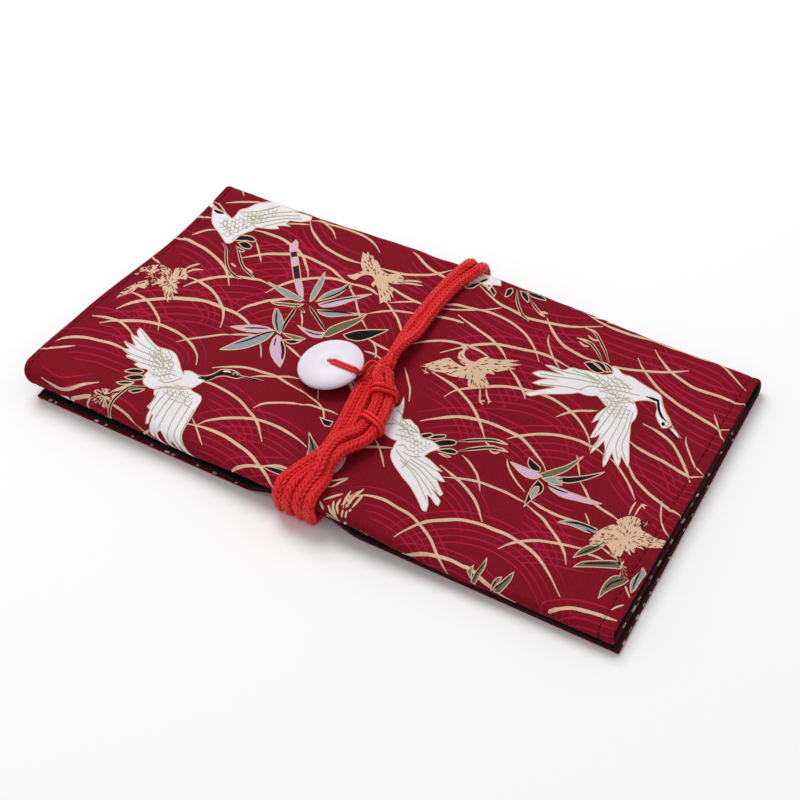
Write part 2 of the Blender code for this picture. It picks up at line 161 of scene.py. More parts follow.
def tent(x, y):
    half = between(HUMP_HALF_WIDTH_NEAR, HUMP_HALF_WIDTH_FAR, smooth(across(y) * 3))
    shoulder = between(TENT_SHOULDER_NEAR, TENT_SHOULDER_FAR, smooth(across(y)))
    return HUMP_HEIGHT * smooth(1 - (np.abs(x) - half) / shoulder)


def looseness(x, y):
    along = smooth((LOOSE_CORNER_START - x) / LOOSE_CORNER_LENGTH)
    inwards = y + HALF_WIDTH - LOOSE_CORNER_INSET
    return along * smooth(1 - inwards / LOOSE_CORNER_DEPTH)


def bottom_height(x, y):
    return BOTTOM_LEVEL + hump(x, y)


def inner_height(x, y):
    return INNER_LEVEL + tent(x, y) + LOOSE_CORNER_GAP * looseness(x, y)


def top_height(x, y):
    return TOP_LEVEL + tent(x, y) + LOOSE_CORNER_LIFT * looseness(x, y)


def near_fold_edge(x):
    away = (x - NEAR_FOLD_BOW_PLACE) / NEAR_FOLD_BOW_HALF_WIDTH
    return -HALF_WIDTH - NEAR_FOLD_BOW * np.exp(-(away**2))


def far_fold_edge(x):
    return HALF_WIDTH - FAR_PULL_IN * np.exp(-((x / FAR_PULL_HALF_WIDTH) ** 2))


def near_fold(x):
    """The near fold's middle line at this x: its centre's y and z, and its radius."""
    edge = near_fold_edge(x) + OUTER_REACH
    middle = edge + (top_height(x, edge) - inner_height(x, edge)) / 2
    top = top_height(x, middle)
    inner = inner_height(x, middle)
    return middle, (top + inner) / 2, (top - inner) / 2


def far_fold(x):
    """The far fold's middle line at this x: its centre's y and z, and its radius."""
    edge = far_fold_edge(x) - OUTER_REACH
    middle = edge - (top_height(x, edge) - bottom_height(x, edge)) / 2
    top = top_height(x, middle)
    bottom = bottom_height(x, middle)
    return middle, (top + bottom) / 2, (top - bottom) / 2


def middle_line(x, row):
    """y and z of the folded strip's middle line at these columns' x and these rows."""
    near_middle, near_z, near_radius = near_fold(x)
    far_middle, far_z, far_radius = far_fold(x)
    inner_y = between(near_fold_edge(x) + INNER_PANEL_WIDTH, near_middle, row / NEAR_FOLD_ROW)
    near_turn = math.pi * (row - NEAR_FOLD_ROW) / (TOP_ROW - NEAR_FOLD_ROW)
    top_y = between(near_middle, far_middle, (row - TOP_ROW) / (FAR_FOLD_ROW - TOP_ROW))
    far_turn = math.pi * (row - FAR_FOLD_ROW) / (BOTTOM_ROW - FAR_FOLD_ROW)
    bottom_end = -HALF_WIDTH + LOWER_EDGE_SETBACK
    bottom_y = between(far_middle, bottom_end, (row - BOTTOM_ROW) / (LAST_ROW - BOTTOM_ROW))
    shape = np.broadcast(x, row).shape
    limits = (NEAR_FOLD_ROW, TOP_ROW, FAR_FOLD_ROW, BOTTOM_ROW)
    zones = [np.broadcast_to(row < limit, shape) for limit in limits]
    y = np.select(zones, [
        inner_y,
        near_middle - near_radius * np.sin(near_turn),
        top_y,
        far_middle + far_radius * np.sin(far_turn),
    ], bottom_y)
    z = np.select(zones, [
        inner_height(x, inner_y),
        near_z - near_radius * np.cos(near_turn),
        top_height(x, top_y),
        far_z + far_radius * np.cos(far_turn),
    ], bottom_height(x, bottom_y))
    return y, z


def end_shift(x, row, y, z):
    """How far each row's end lies beyond the top panel's, along X."""
    turning = INNER_SHIFT_SHARE * (TOP_ROW - row) / (TOP_ROW - NEAR_FOLD_ROW)
    lower = np.where(row < NEAR_FOLD_ROW, INNER_SHIFT_SHARE, turning)
    lower = np.where(row >= TOP_ROW, 0.0, lower)
    beyond = smooth((row - FAR_FOLD_ROW) / (LAST_ROW - FAR_FOLD_ROW) * 3)
    lower = np.where(row > FAR_FOLD_ROW, beyond, lower)
    near = 1 - across(y)
    wave = LEFT_EDGE_WAVE * np.sin(math.tau * (across(y) - LEFT_EDGE_WAVE_START))
    flare = CORNER_FLARE * smooth((near - FLARE_START) / (1 - FLARE_START))
    flare = flare * smooth((z - FLARE_LEVEL) / FLARE_RISE)
    left = lower * LOWER_LAYERS_SHIFT * LEFT_SHIFT_SHARE - LEFT_END_SET_BACK
    left = left - (wave + flare) * (1 - lower)
    right = lower * LOWER_LAYERS_SHIFT * between(FAR_SHIFT_SHARE, 1.0, near)
    share = smooth((np.abs(x) - HALF_LENGTH / 2) / (HALF_LENGTH / 2))
    return np.where(x < 0, left, right) * share


def cloth_surface(x, row, distance):
    """Points of the folded strip, this far from its middle line towards the outer cloth's side."""
    x = np.asarray(x, float)
    row = np.asarray(row, float)
    y, z = middle_line(x, row)
    step = 0.02
    y0, z0 = middle_line(x, np.clip(row - step, 0, LAST_ROW))
    y1, z1 = middle_line(x, np.clip(row + step, 0, LAST_ROW))
    length = np.hypot(y1 - y0, z1 - z0)
    shifted = x + end_shift(x, row, y, z)
    points = (shifted, y + (z0 - z1) / length * distance, z + (y1 - y0) / length * distance)
    return np.stack(np.broadcast_arrays(*points), axis=-1)


# -------------------------------------------------------------- helpers for meshes

def add_mesh(name, points, faces, uvs=None):
    """A piece from points in the source's frame; uvs has a pair for each point or face corner."""
    mesh = bpy.data.meshes.new(name)
    mesh.from_pydata([tuple(point) for point in np.asarray(points) + ORIGIN], [], faces)
    if uvs is not None:
        layer = mesh.uv_layers.new(name="UVMap")
        corners = np.empty(len(mesh.loops), dtype=np.int32)
        mesh.loops.foreach_get("vertex_index", corners)
        uvs = np.asarray(uvs, dtype=np.float32)
        uvs = uvs if len(uvs) == len(corners) else uvs[corners]
        layer.data.foreach_set("uv", uvs.ravel())
    mesh.shade_smooth()
    mesh.validate()
    obj = bpy.data.objects.new(name, mesh)
    bpy.context.scene.collection.objects.link(obj)
    return obj


def dress(piece, material, slot, *nodes):
    """Gives a piece its material and its body, and hides the CAD nodes it stands for. The slot is
    not used.
    """
    piece.data.materials.append(material)
    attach(piece, "root")
    if nodes:
        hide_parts(*nodes)


def grid_faces(columns, rows, start=0, flip=False, wrap=False):
    """Quads of a grid whose points run along the rows first."""
    faces = []
    for i in range(columns - 1):
        for j in range(rows if wrap else rows - 1):
            k = (j + 1) % rows
            quad = (start + i * rows + j, start + (i + 1) * rows + j,
                    start + (i + 1) * rows + k, start + i * rows + k)
            faces.append(quad[::-1] if flip else quad)
    return faces


# -------------------------------------------------------------- materials

CRIMSON = (0.245, 0.0068, 0.0175)


class Finish:
    """A node material that is put together step by step."""

    def __init__(self, name, roughness, specular=0.5):
        self.material = bpy.data.materials.new(name)
        self.material.use_nodes = True
        self.tree = self.material.node_tree
        self.shader = self.tree.nodes["Principled BSDF"]
        self.shader.inputs["Roughness"].default_value = roughness
        self.shader.inputs["Specular IOR Level"].default_value = specular

    def node(self, kind, inputs=(), **settings):
        made = self.tree.nodes.new(kind)
        for key, value in settings.items():
            setattr(made, key, value)
        for key, value in dict(inputs).items():
            if isinstance(value, bpy.types.NodeSocket):
                self.tree.links.new(value, made.inputs[key])
            else:
                made.inputs[key].default_value = value
        return made

    def math(self, operation, first, second=0.0, third=0.0):
        made = self.node("ShaderNodeMath", {0: first, 1: second, 2: third}, operation=operation)
        return made.outputs[0]

    def uv_axes(self, *scales):
        """The UV map, and its two directions times these scales."""
        uv = self.node("ShaderNodeUVMap", uv_map="UVMap").outputs[0]
        split = self.node("ShaderNodeSeparateXYZ", {0: uv})
        return uv, *(self.math("MULTIPLY", *pair) for pair in zip(split.outputs, scales))

    def noise(self, scale, detail=2.0, vector=None):
        vector = vector or self.node("ShaderNodeTexCoord").outputs["Object"]
        inputs = {"Vector": vector, "Scale": scale, "Detail": detail}
        return self.node("ShaderNodeTexNoise", inputs).outputs[0]

    def colour_between(self, share, dark, light):
        made = self.node("ShaderNodeMix", data_type="RGBA")
        self.tree.links.new(share, made.inputs[0])
        made.inputs[6].default_value = (*dark, 1)
        made.inputs[7].default_value = (*light, 1)
        self.tree.links.new(made.outputs[2], self.shader.inputs["Base Color"])

    def bump(self, height, distance, strength=1.0):
        inputs = {"Height": height, "Distance": distance, "Strength": strength}
        made = self.node("ShaderNodeBump", inputs)
        self.tree.links.new(made.outputs[0], self.shader.inputs["Normal"])


THREAD_PITCH = 0.00046
THREAD_DRIFT = 9.0


def cotton(name, colour, specular=0.07, speckle=0.32):
    """Plain-woven cotton: crossing threads, a little uneven, in this colour."""
    finish = Finish(name, 0.88, specular)
    scale = math.pi * STRIP_LENGTH / THREAD_PITCH
    uv, *axes = finish.uv_axes(scale, scale)
    drift = finish.math("MULTIPLY", finish.noise(60.0, vector=uv), THREAD_DRIFT)
    crossing = [finish.math("SINE", finish.math("ADD", axis, drift)) for axis in axes]
    over = finish.math("GREATER_THAN", finish.math("MULTIPLY", *crossing), 0.0)
    first, second = (finish.math("ABSOLUTE", wave) for wave in crossing)
    height = finish.math("MULTIPLY_ADD", finish.math("SUBTRACT", first, second), over, second)
    grain = finish.noise(420.0, 3.0, vector=uv)
    patch = finish.noise(14.0, vector=uv)
    share = finish.math("MULTIPLY_ADD", grain, 0.62, -0.18)
    share = finish.math("MULTIPLY_ADD", height, 0.30, share)
    share = finish.math("MULTIPLY_ADD", patch, 0.30, share)
    dark = tuple(value * (1 - speckle * 1.5) for value in colour)
    light = tuple(min(1.0, value * (1 + speckle)) for value in colour)
    finish.colour_between(share, dark, light)
    finish.bump(finish.math("MULTIPLY_ADD", grain, 0.8, height), 0.00007, 0.8)
    return finish.material


BRAID_COLUMNS = 6
BRAID_PITCH = 0.0017
BRAID_SLANT = 1.15
# How fast a stitch falls off from its middle, across its column and along it.
BRAID_FALL = (3.0, 3.6)
CORD_UV_LENGTH = 0.7
THREAD_TWIST = 0.0011


def braid(name, dark, light):
    """Slanted oval stitches in columns round a cord, with fine fibres along each stitch. Its colour
    is darker in the gaps between stitches, as painted shade, and lighter on their crowns, as
    painted light.
    """
    finish = Finish(name, 0.18, 0.30)
    _, column, way = finish.uv_axes(float(BRAID_COLUMNS), CORD_UV_LENGTH / BRAID_PITCH)
    u = finish.math("SUBTRACT", finish.math("FRACT", column), 0.5)
    odd = finish.math("MODULO", finish.math("FLOOR", column), 2.0)
    lean = finish.math("MULTIPLY_ADD", odd, -2.0, 1.0)
    phase = finish.math("MULTIPLY_ADD", finish.math("MULTIPLY", lean, u), BRAID_SLANT, way)
    v = finish.math("SUBTRACT", finish.math("FRACT", phase), 0.5)
    sides = []
    for place, fall in zip((u, v), BRAID_FALL):
        square = finish.math("MULTIPLY_ADD", finish.math("MULTIPLY", place, place), -fall, 1.0)
        sides.append(finish.math("SQRT", finish.math("MAXIMUM", square, 0.0)))
    height = finish.math("MULTIPLY", *sides)
    fibre = finish.math("SINE", finish.math("MULTIPLY", v, 34.0))
    share = finish.math("MULTIPLY_ADD", finish.noise(2600.0), 0.25, -0.40)
    share = finish.math("MULTIPLY_ADD", fibre, 0.06, share)
    # The stitch height sets the colour: painted shade in the gaps between stitches, painted light
    # on their crowns.
    share = finish.math("MULTIPLY_ADD", height, 1.9, share)
    finish.colour_between(share, dark, light)
    finish.bump(finish.math("MULTIPLY_ADD", fibre, 0.09, height), 0.00055, 1.0)
    return finish.material


def thin_thread(name, dark, light):
    """A two-ply twisted thread."""
    finish = Finish(name, 0.36, 0.30)
    _, turn, way = finish.uv_axes(2 * math.tau, math.tau * CORD_UV_LENGTH / THREAD_TWIST)
    twist = finish.math("SINE", finish.math("ADD", turn, way))
    grain = finish.noise(2600.0)
    share = finish.math("MULTIPLY_ADD", grain, 0.5, 0.3)
    share = finish.math("MULTIPLY_ADD", twist, 0.12, share)
    finish.colour_between(share, dark, light)
    finish.bump(finish.math("MULTIPLY_ADD", grain, 0.4, twist), 0.00006, 0.7)
    return finish.material


def polished_white(name):
    finish = Finish(name, 0.34, 0.30)
    finish.colour_between(finish.noise(160.0, 3.0), (0.76, 0.70, 0.79), (0.82, 0.76, 0.84))
    finish.bump(finish.noise(420.0), 0.00002, 0.5)
    return finish.material


def plain_material(name, colour, roughness):
    finish = Finish(name, roughness)
    finish.shader.inputs["Base Color"].default_value = (*colour, 1)
    return finish.material


# -------------------------------------------------------------- the cloth

ROUND = 0.0004
ROUND_STEPS = 6
INNER_ROW_WIDTH = 0.0212
BOTTOM_ROW_WIDTH = 0.0146
# The column whose length along the strip stands for every column's.
MEASURED_COLUMN = 0.06


def stations(start, end, count, rounding):
    """Places from start to end, closer together at the ends, where the edge is rounded."""
    bend = rounding * (1 - np.cos(math.pi / 2 * np.arange(ROUND_STEPS) / ROUND_STEPS))
    inner = np.linspace(start + rounding, end - rounding, count)
    return np.concatenate([start + bend, inner, end - bend[::-1]])


def roundness(places, rounding):
    """How much of its thickness the cloth has at these distances from its border."""
    gap = np.clip(places / rounding, 0.0, 1.0)
    return np.sqrt(1 - (1 - gap) ** 2)


def way_along_strip(rows):
    """The way along the folded strip's middle line to each of these rows."""
    y, z = middle_line(np.array([[MEASURED_COLUMN]]), rows[None, :])
    return np.concatenate([[0], np.cumsum(np.hypot(np.diff(y[0]), np.diff(z[0])))])


STRIP_LENGTH = float(way_along_strip(np.linspace(0, LAST_ROW, 4000))[-1])
SEAM_INSET_RIGHT = (0.0044, 0.0029)
SEAM_INSET_LEFT = 0.0022
LINING_SET_BACK = 0.0005
GROOVE_DEPTH, GROOVE_HALF_WIDTH = 0.00020, 0.0005
SWELL_HEIGHT, SWELL_DISTANCE, SWELL_HALF_WIDTH = 0.00007, 0.0013, 0.0008
PUCKER_SHARE, PUCKER_RATE = 0.35, 44.0
LONG_WAVE_HEIGHT, SHORT_WAVE_HEIGHT = 0.00010, 0.00006


def seam_inset(x, row):
    """How far the stitching lies from the short end, from the near fold to the far fold."""
    right = between(*SEAM_INSET_RIGHT, np.clip((row - TOP_ROW) / (FAR_FOLD_ROW - TOP_ROW), 0, 1))
    return np.where(x < 0, SEAM_INSET_LEFT, right)


def relief(x, row):
    """Small shapes of the outer face: the sunk row of stitches, puckers by it, and slow waves."""
    gap = HALF_LENGTH - np.abs(x) - seam_inset(x, row)
    pucker = 1 + PUCKER_SHARE * np.sin(row * PUCKER_RATE)
    groove = -GROOVE_DEPTH * np.exp(-((gap / GROOVE_HALF_WIDTH) ** 2)) * pucker
    beside = (np.abs(gap) - SWELL_DISTANCE) / SWELL_HALF_WIDTH
    swell = SWELL_HEIGHT * np.exp(-(beside**2)) * pucker
    waves = np.sin(x * 210 + 1.7 * np.sin(row * 0.9)) * np.sin(row * 1.9 + x * 60)
    waves = LONG_WAVE_HEIGHT * waves + SHORT_WAVE_HEIGHT * np.sin(x * 520 + row * 2.3)
    above_floor = smooth((FAR_FOLD_ROW + 4 - row) / 3)
    return groove + (swell + waves * smooth((HALF_LENGTH - np.abs(x)) / 0.006)) * above_floor


def set_back(x, row):
    """How far the lining lies inside the outer cloth, at its ends and left on the free edge."""
    panel = smooth((NEAR_FOLD_ROW + 3 - row) / 3) + smooth((row - FAR_FOLD_ROW - 2) / 3)
    along = -np.sign(x) * panel * smooth((np.abs(x) - 0.098) / 0.006)
    inwards = 1.6 * smooth((row - LAST_ROW) * 2 + 1) * smooth((-0.012 - x) / 0.02)
    return LINING_SET_BACK * np.stack(np.broadcast_arrays(along, inwards, 0.0), axis=-1)


def add_cloth(name, back, face):
    """One of the two cloths; back and face are its sides' distances from the middle line."""
    outwards = face > back
    columns = np.unique(np.round(np.concatenate([
        stations(-HALF_LENGTH, HALF_LENGTH, 140, ROUND),
        *(side * (HALF_LENGTH - ROUND - np.arange(1, 18) * 0.0003) for side in (-1, 1)),
    ]), 7))
    rows = np.concatenate([
        stations(0, NEAR_FOLD_ROW, 20, ROUND / INNER_ROW_WIDTH)[:-ROUND_STEPS - 1],
        np.linspace(NEAR_FOLD_ROW, TOP_ROW, 17)[:-1],
        np.linspace(TOP_ROW, FAR_FOLD_ROW, 82)[:-1],
        np.linspace(FAR_FOLD_ROW, BOTTOM_ROW, 17)[:-1],
        stations(BOTTOM_ROW, LAST_ROW, 44, ROUND / BOTTOM_ROW_WIDTH)[ROUND_STEPS:],
    ])
    x = columns[:, None]
    row = rows[None, :]
    rounded = roundness(HALF_LENGTH - np.abs(x), ROUND)
    rounded = rounded * roundness(row * INNER_ROW_WIDTH, ROUND)
    rounded = rounded * roundness((LAST_ROW - row) * BOTTOM_ROW_WIDTH, ROUND)
    shape = relief(x, row) if outwards else 0.0
    face_points = cloth_surface(x, row, back + (face - back + shape) * rounded)
    back_points = cloth_surface(x, row, back)
    if not outwards:
        face_points += set_back(x, row)
        back_points += set_back(x, row)
    count = len(columns) * len(rows)
    index = np.arange(count).reshape(len(columns), len(rows))
    points = np.concatenate([face_points.reshape(-1, 3), back_points.reshape(-1, 3)])
    faces = grid_faces(len(columns), len(rows), flip=not outwards)
    # The back shares the face's points all round its border.
    twin = index + count
    twin[0], twin[-1], twin[:, 0], twin[:, -1] = index[0], index[-1], index[:, 0], index[:, -1]
    for i in range(len(columns) - 1):
        for j in range(len(rows) - 1):
            quad = (twin[i, j], twin[i + 1, j], twin[i + 1, j + 1], twin[i, j + 1])
            faces.append(tuple(int(k) for k in (quad[::-1] if outwards else quad)))
    across_share = x / STRIP_LENGTH + 0.5
    along_share = way_along_strip(rows)[None, :] / STRIP_LENGTH
    uv = np.stack(np.broadcast_arrays(across_share, along_share), axis=-1).reshape(-1, 2)
    obj = add_mesh(name, points, faces, uvs=np.concatenate([uv, uv]))
    loose = bmesh.new()
    loose.from_mesh(obj.data)
    bmesh.ops.delete(loose, geom=[v for v in loose.verts if not v.link_faces], context="VERTS")
    loose.to_mesh(obj.data)
    loose.free()
    return obj


outer_cloth = add_cloth("printed_cloth", HALF_CLEARANCE, OUTER_REACH)
dress(outer_cloth, cotton("crimson_cotton", CRIMSON), "printed_cotton", "outer_cloth")
lining_cloth = add_cloth("black_lining", -HALF_CLEARANCE, -HALF_CLEARANCE - LINING_CLOTH)
black_cotton = cotton("black_cotton", (0.009, 0.009, 0.011), 0.18, 0.4)
dress(lining_cloth, black_cotton, "black_cotton", "lining")

# -------------------------------------------------------------- the print

# The print is drawn in the picture's own pixels and laid on the cloth from the camera. A line of
# these tables gives a colour's letter, a stroke's width where it is a stroke, and its points.
GOLD_ARCS = """
3 470,309 477,310 485,311 497,315 508,320.5 518,327.5 526,335 532,344 536,352 539,362
1.6 484,310 493,309 502,307.5
3.4 480,286 490,296 500,304 512,310 525,317 540,321 560,325 580,327 603,326.5
3.6 547,318 550,326 555,335 562,344 572,351 585,358 597,361
3 614,366 620,368 635,370 655,372 675,372 689,371
3.6 440,353 455,349 470,346 480,344.5 495,344 510,347 525,350 535,352 548,356 560,362 570,368
3.4 458,315 470,324 480,331 490,338 497,345 503,353 507,361
2.4 549,335 548,342 551,352 555,361 560,369
3.4 508,368 515,376 520,385 524,393 525,399
3.6 444,397 452,392 461,389.5 475,387.5 490,386.5 505,386.5 520,388.5 541,394 553,399 562,405 \
572,413 580,422 586,432 589,440 590,451
3.4 584,311 592,317 600,322 612,328 625,333 640,337 650,339.5 660,343 672,348 685,352 700,357 \
710,360 718,362 726,369 735,379 741,386 746,391
2 638,332 652,338 668,343
3.6 655,350 659,357 665,365 671,372 680,379 692,387 705,392 717,396 728,400 738,404 746,404
3.8 638,358 642,367 648,376 655,385 663,393 672,400 680,406 692,413 705,421 713,426 719,430 \
729,430
2.4 714,414 716,421 719,430 721,437 725,441
2.6 686,437 686,443 690,455 694,465 698,470 704,476
3.8 643,424 655,430 665,437 673,445 680,457 685,468 688,476 690,483
3.8 629,441 636,447 648,454 660,460 672,467 682,473 690,477 703,477
3.8 626,460 629,467 634,478 642,487 650,495 660,503 668,509 676,513 682,517
3 610,458 616,464 622,473 628,483 632,492 635,500
2.4 662,501 661,510 661,520 664,530 670,538
3.2 580,482 585,490 590,500 600,508 612,516 620,522
2.6 577,455 578,465 580,477
3.8 430,371 440,377 448,382 456,388 463,395 470,403 476,413 480,423 483,432 485,440
4 420,421 430,419 440,418 452,417 463,417 475,419 487,422 500,427 512,433 521,438 530,447 538,457 \
543,464 546,471
3.6 507,439 515,437 525,435.5 540,434 555,435 570,438 580,441 588,445 598,450 604,455
3 556,417 566,413.5 578,411 590,411 598,411
3.2 462,455 468,461 473,468 477,475 479,483 480,491
3.2 443,477 455,478 468,480 482,483 495,488 507,493 520,500 526,503
3.8 440,465 450,473 460,482 468,491 475,501 479,511 482,522
2.6 507,459 508,466 512,475 518,484 525,492
3.6 530,500 540,507 552,513 565,518 576,521
2.6 405,368 408,380 410,390 409,402
2.4 300,405 310,405 320,408 330,411 338,415
2.4 300,389 310,397 318,403 323,410 324,418 325,427
1.6 318,388 318,399
3 350,453 360,448 370,447 380,447 392,448
2.4 374,437 379,447 382,457 384,467
3 323,500 335,496 343,494
4 354,497 364,495 375,497 386,501 396,507 410,515 418,523 425,531 431,540 435,550 438,557 443,566 \
446,572
4.4 394,537 400,533 410,528 419,524 430,521 445,520 460,520 472,522 483,525 495,530 506,534 \
516,540 530,550 538,558 544,566 550,576 554,584 560,597
3.6 498,549 506,545 516,542 527,541 540,541 555,543 565,545 578,548 592,550
3.8 527,505 536,513 543,519 549,527 555,535 560,543 563,550 565,556 566,565
5 392,553 400,553 413,553 427,554 440,557 452,561 462,566 470,569 478,576 485,582 492,587 500,594 \
512,601
4.6 547,611 549,610 558,609 570,608 580,609
3 584,553 594,556 603,560
2.6 602,548 608,553 614,558
2.2 585,513 588,520 589,525
5 547,611 558,609 572,608 585,611 598,615 607,618 617,621
2.6 611,610 617,607 624,605
2.6 625,585 627,591 630,598
2.6 188,217.5 197,217 205,217 213,218
2.4 192,235 200,232 208,230 216,230
2.2 226,203 240,202 252,202 265,203
2 242,189 244,196
4 172,238 180,239 188,240 196,244 205,249 214,256 221,263 226,271 228,278 229,286
3.4 183,287 192,283 202,280 213,278 225,277 240,277 252,279 262,281 273,287
3.6 252,230 263,232 272,235 282,239 290,244 297,249 303,257 306,265 308,272 308,279
3.6 241,258 252,256 265,254 278,254 290,254 300,255 312,259 322,264 331,269 338,275 345,281 \
352,287
2.6 256,241 258,248 260,256 261,262
4.2 170,297 180,298 192,299 203,301 215,305 225,309 235,313 244,319 250,325 257,330
3.8 188,277 196,280 203,284 210,289 216,296 220,303 223,310 223,318 220,328
3.4 237,312 246,307 256,304 267,301 278,300 290,299 301,301
3.4 265,293 275,288 285,284 295,281 305,279 318,278 335,279 345,282 355,285 363,287
3.6 310,221 312,230 317,238 324,246 333,252 342,257 352,261 362,264
2 285,224 298,224 310,225
2.6 312,221 322,222 328,226 333,231 336,239
2 320,220 335,226 350,230 362,234
2.8 320,221 328,224 340,227 352,231 362,235 370,240 376,246 380,253
3.6 352,284 365,287 372,290 378,295
2.8 347,281 351,290 355,298 357,306 359,314 363,322 368,331
3 380,268 390,271 402,274 415,275 430,275 440,273 452,270
3.4 413,252 418,256 423,262 429,268 437,273 445,277 452,280
3.4 391,287 398,292 408,298 416,302 425,305
2 389,303 400,302 412,302 421,303
2.4 366,314 380,312 395,311 410,313 417,314
3.4 386,302 392,310 397,318 400,326 402,334
3 442,305 456,305 470,308 484,311
2.2 442,309 455,310 470,310 486,310
3.2 433,316 445,318 458,321 464,323
3 411,344 420,342 430,341 445,341 458,343 470,347 478,350 486,355 492,360
3 368,339 376,344 382,347 390,351
2.6 373,342 376,350 375,358
2.4 364,351 374,354 384,361
3.8 116,309 125,305 135,302 147,300 160,299 180,299 192,300 203,302
3.4 130,292 138,295 146,300 152,307 156,314 159,321 158,331
3.4 92,316 103,317 112,319 120,322 127,328 134,336
3.8 99,323 112,321 125,321 140,321 152,323 165,327 178,333 187,340 193,347 197,356 196,365
3.6 55,341 64,338 75,337 88,338 100,341 112,344 122,348 128,350
2.6 40,349 50,348 62,347 75,346
2.6 176,342 190,339 205,337 220,335 232,335
3.6 38,374 48,381 57,385 70,386 85,384 99,382
4 54,397 62,393 75,393 88,394 97,397
2.2 74,403 82,398 90,395
3.4 110,402 118,407 126,413 133,421
3 206,382 214,385 224,390
3.8 204,382 213,385 222,389 232,395 241,402 248,410 254,417 258,425 260,433 262,442
3 129,432 140,429 148,427
2.6 133,421 140,429 146,437 155,443
4.6 187,424 198,426 208,429 218,433 228,438 238,445 246,451 253,458 259,466 266,475 271,485 \
276,495
3.8 197,425 206,421 218,419 232,418 246,418 258,420 268,423 280,428 290,434 300,441 309,449
2.4 192,418 196,427 199,436 202,445
4 220,474 230,468 240,466 252,466 262,467 275,466 285,468 291,471
2.8 230,335 243,334.5 257,335
3 212,368 225,367 240,367 252,369 262,372 275,376 285,382 296,388 308,395
2.4 251,377 262,376 275,377 288,377 302,379
2.8 253,408 262,404 275,403 290,403 305,405
3 286,345 293,351 302,359
2 260,343 261,350 261,358
2.4 301,311 302,318 302,327
2.4 326,487 333,486 341,482 348,479
2 329,481 338,480 348,478
"""
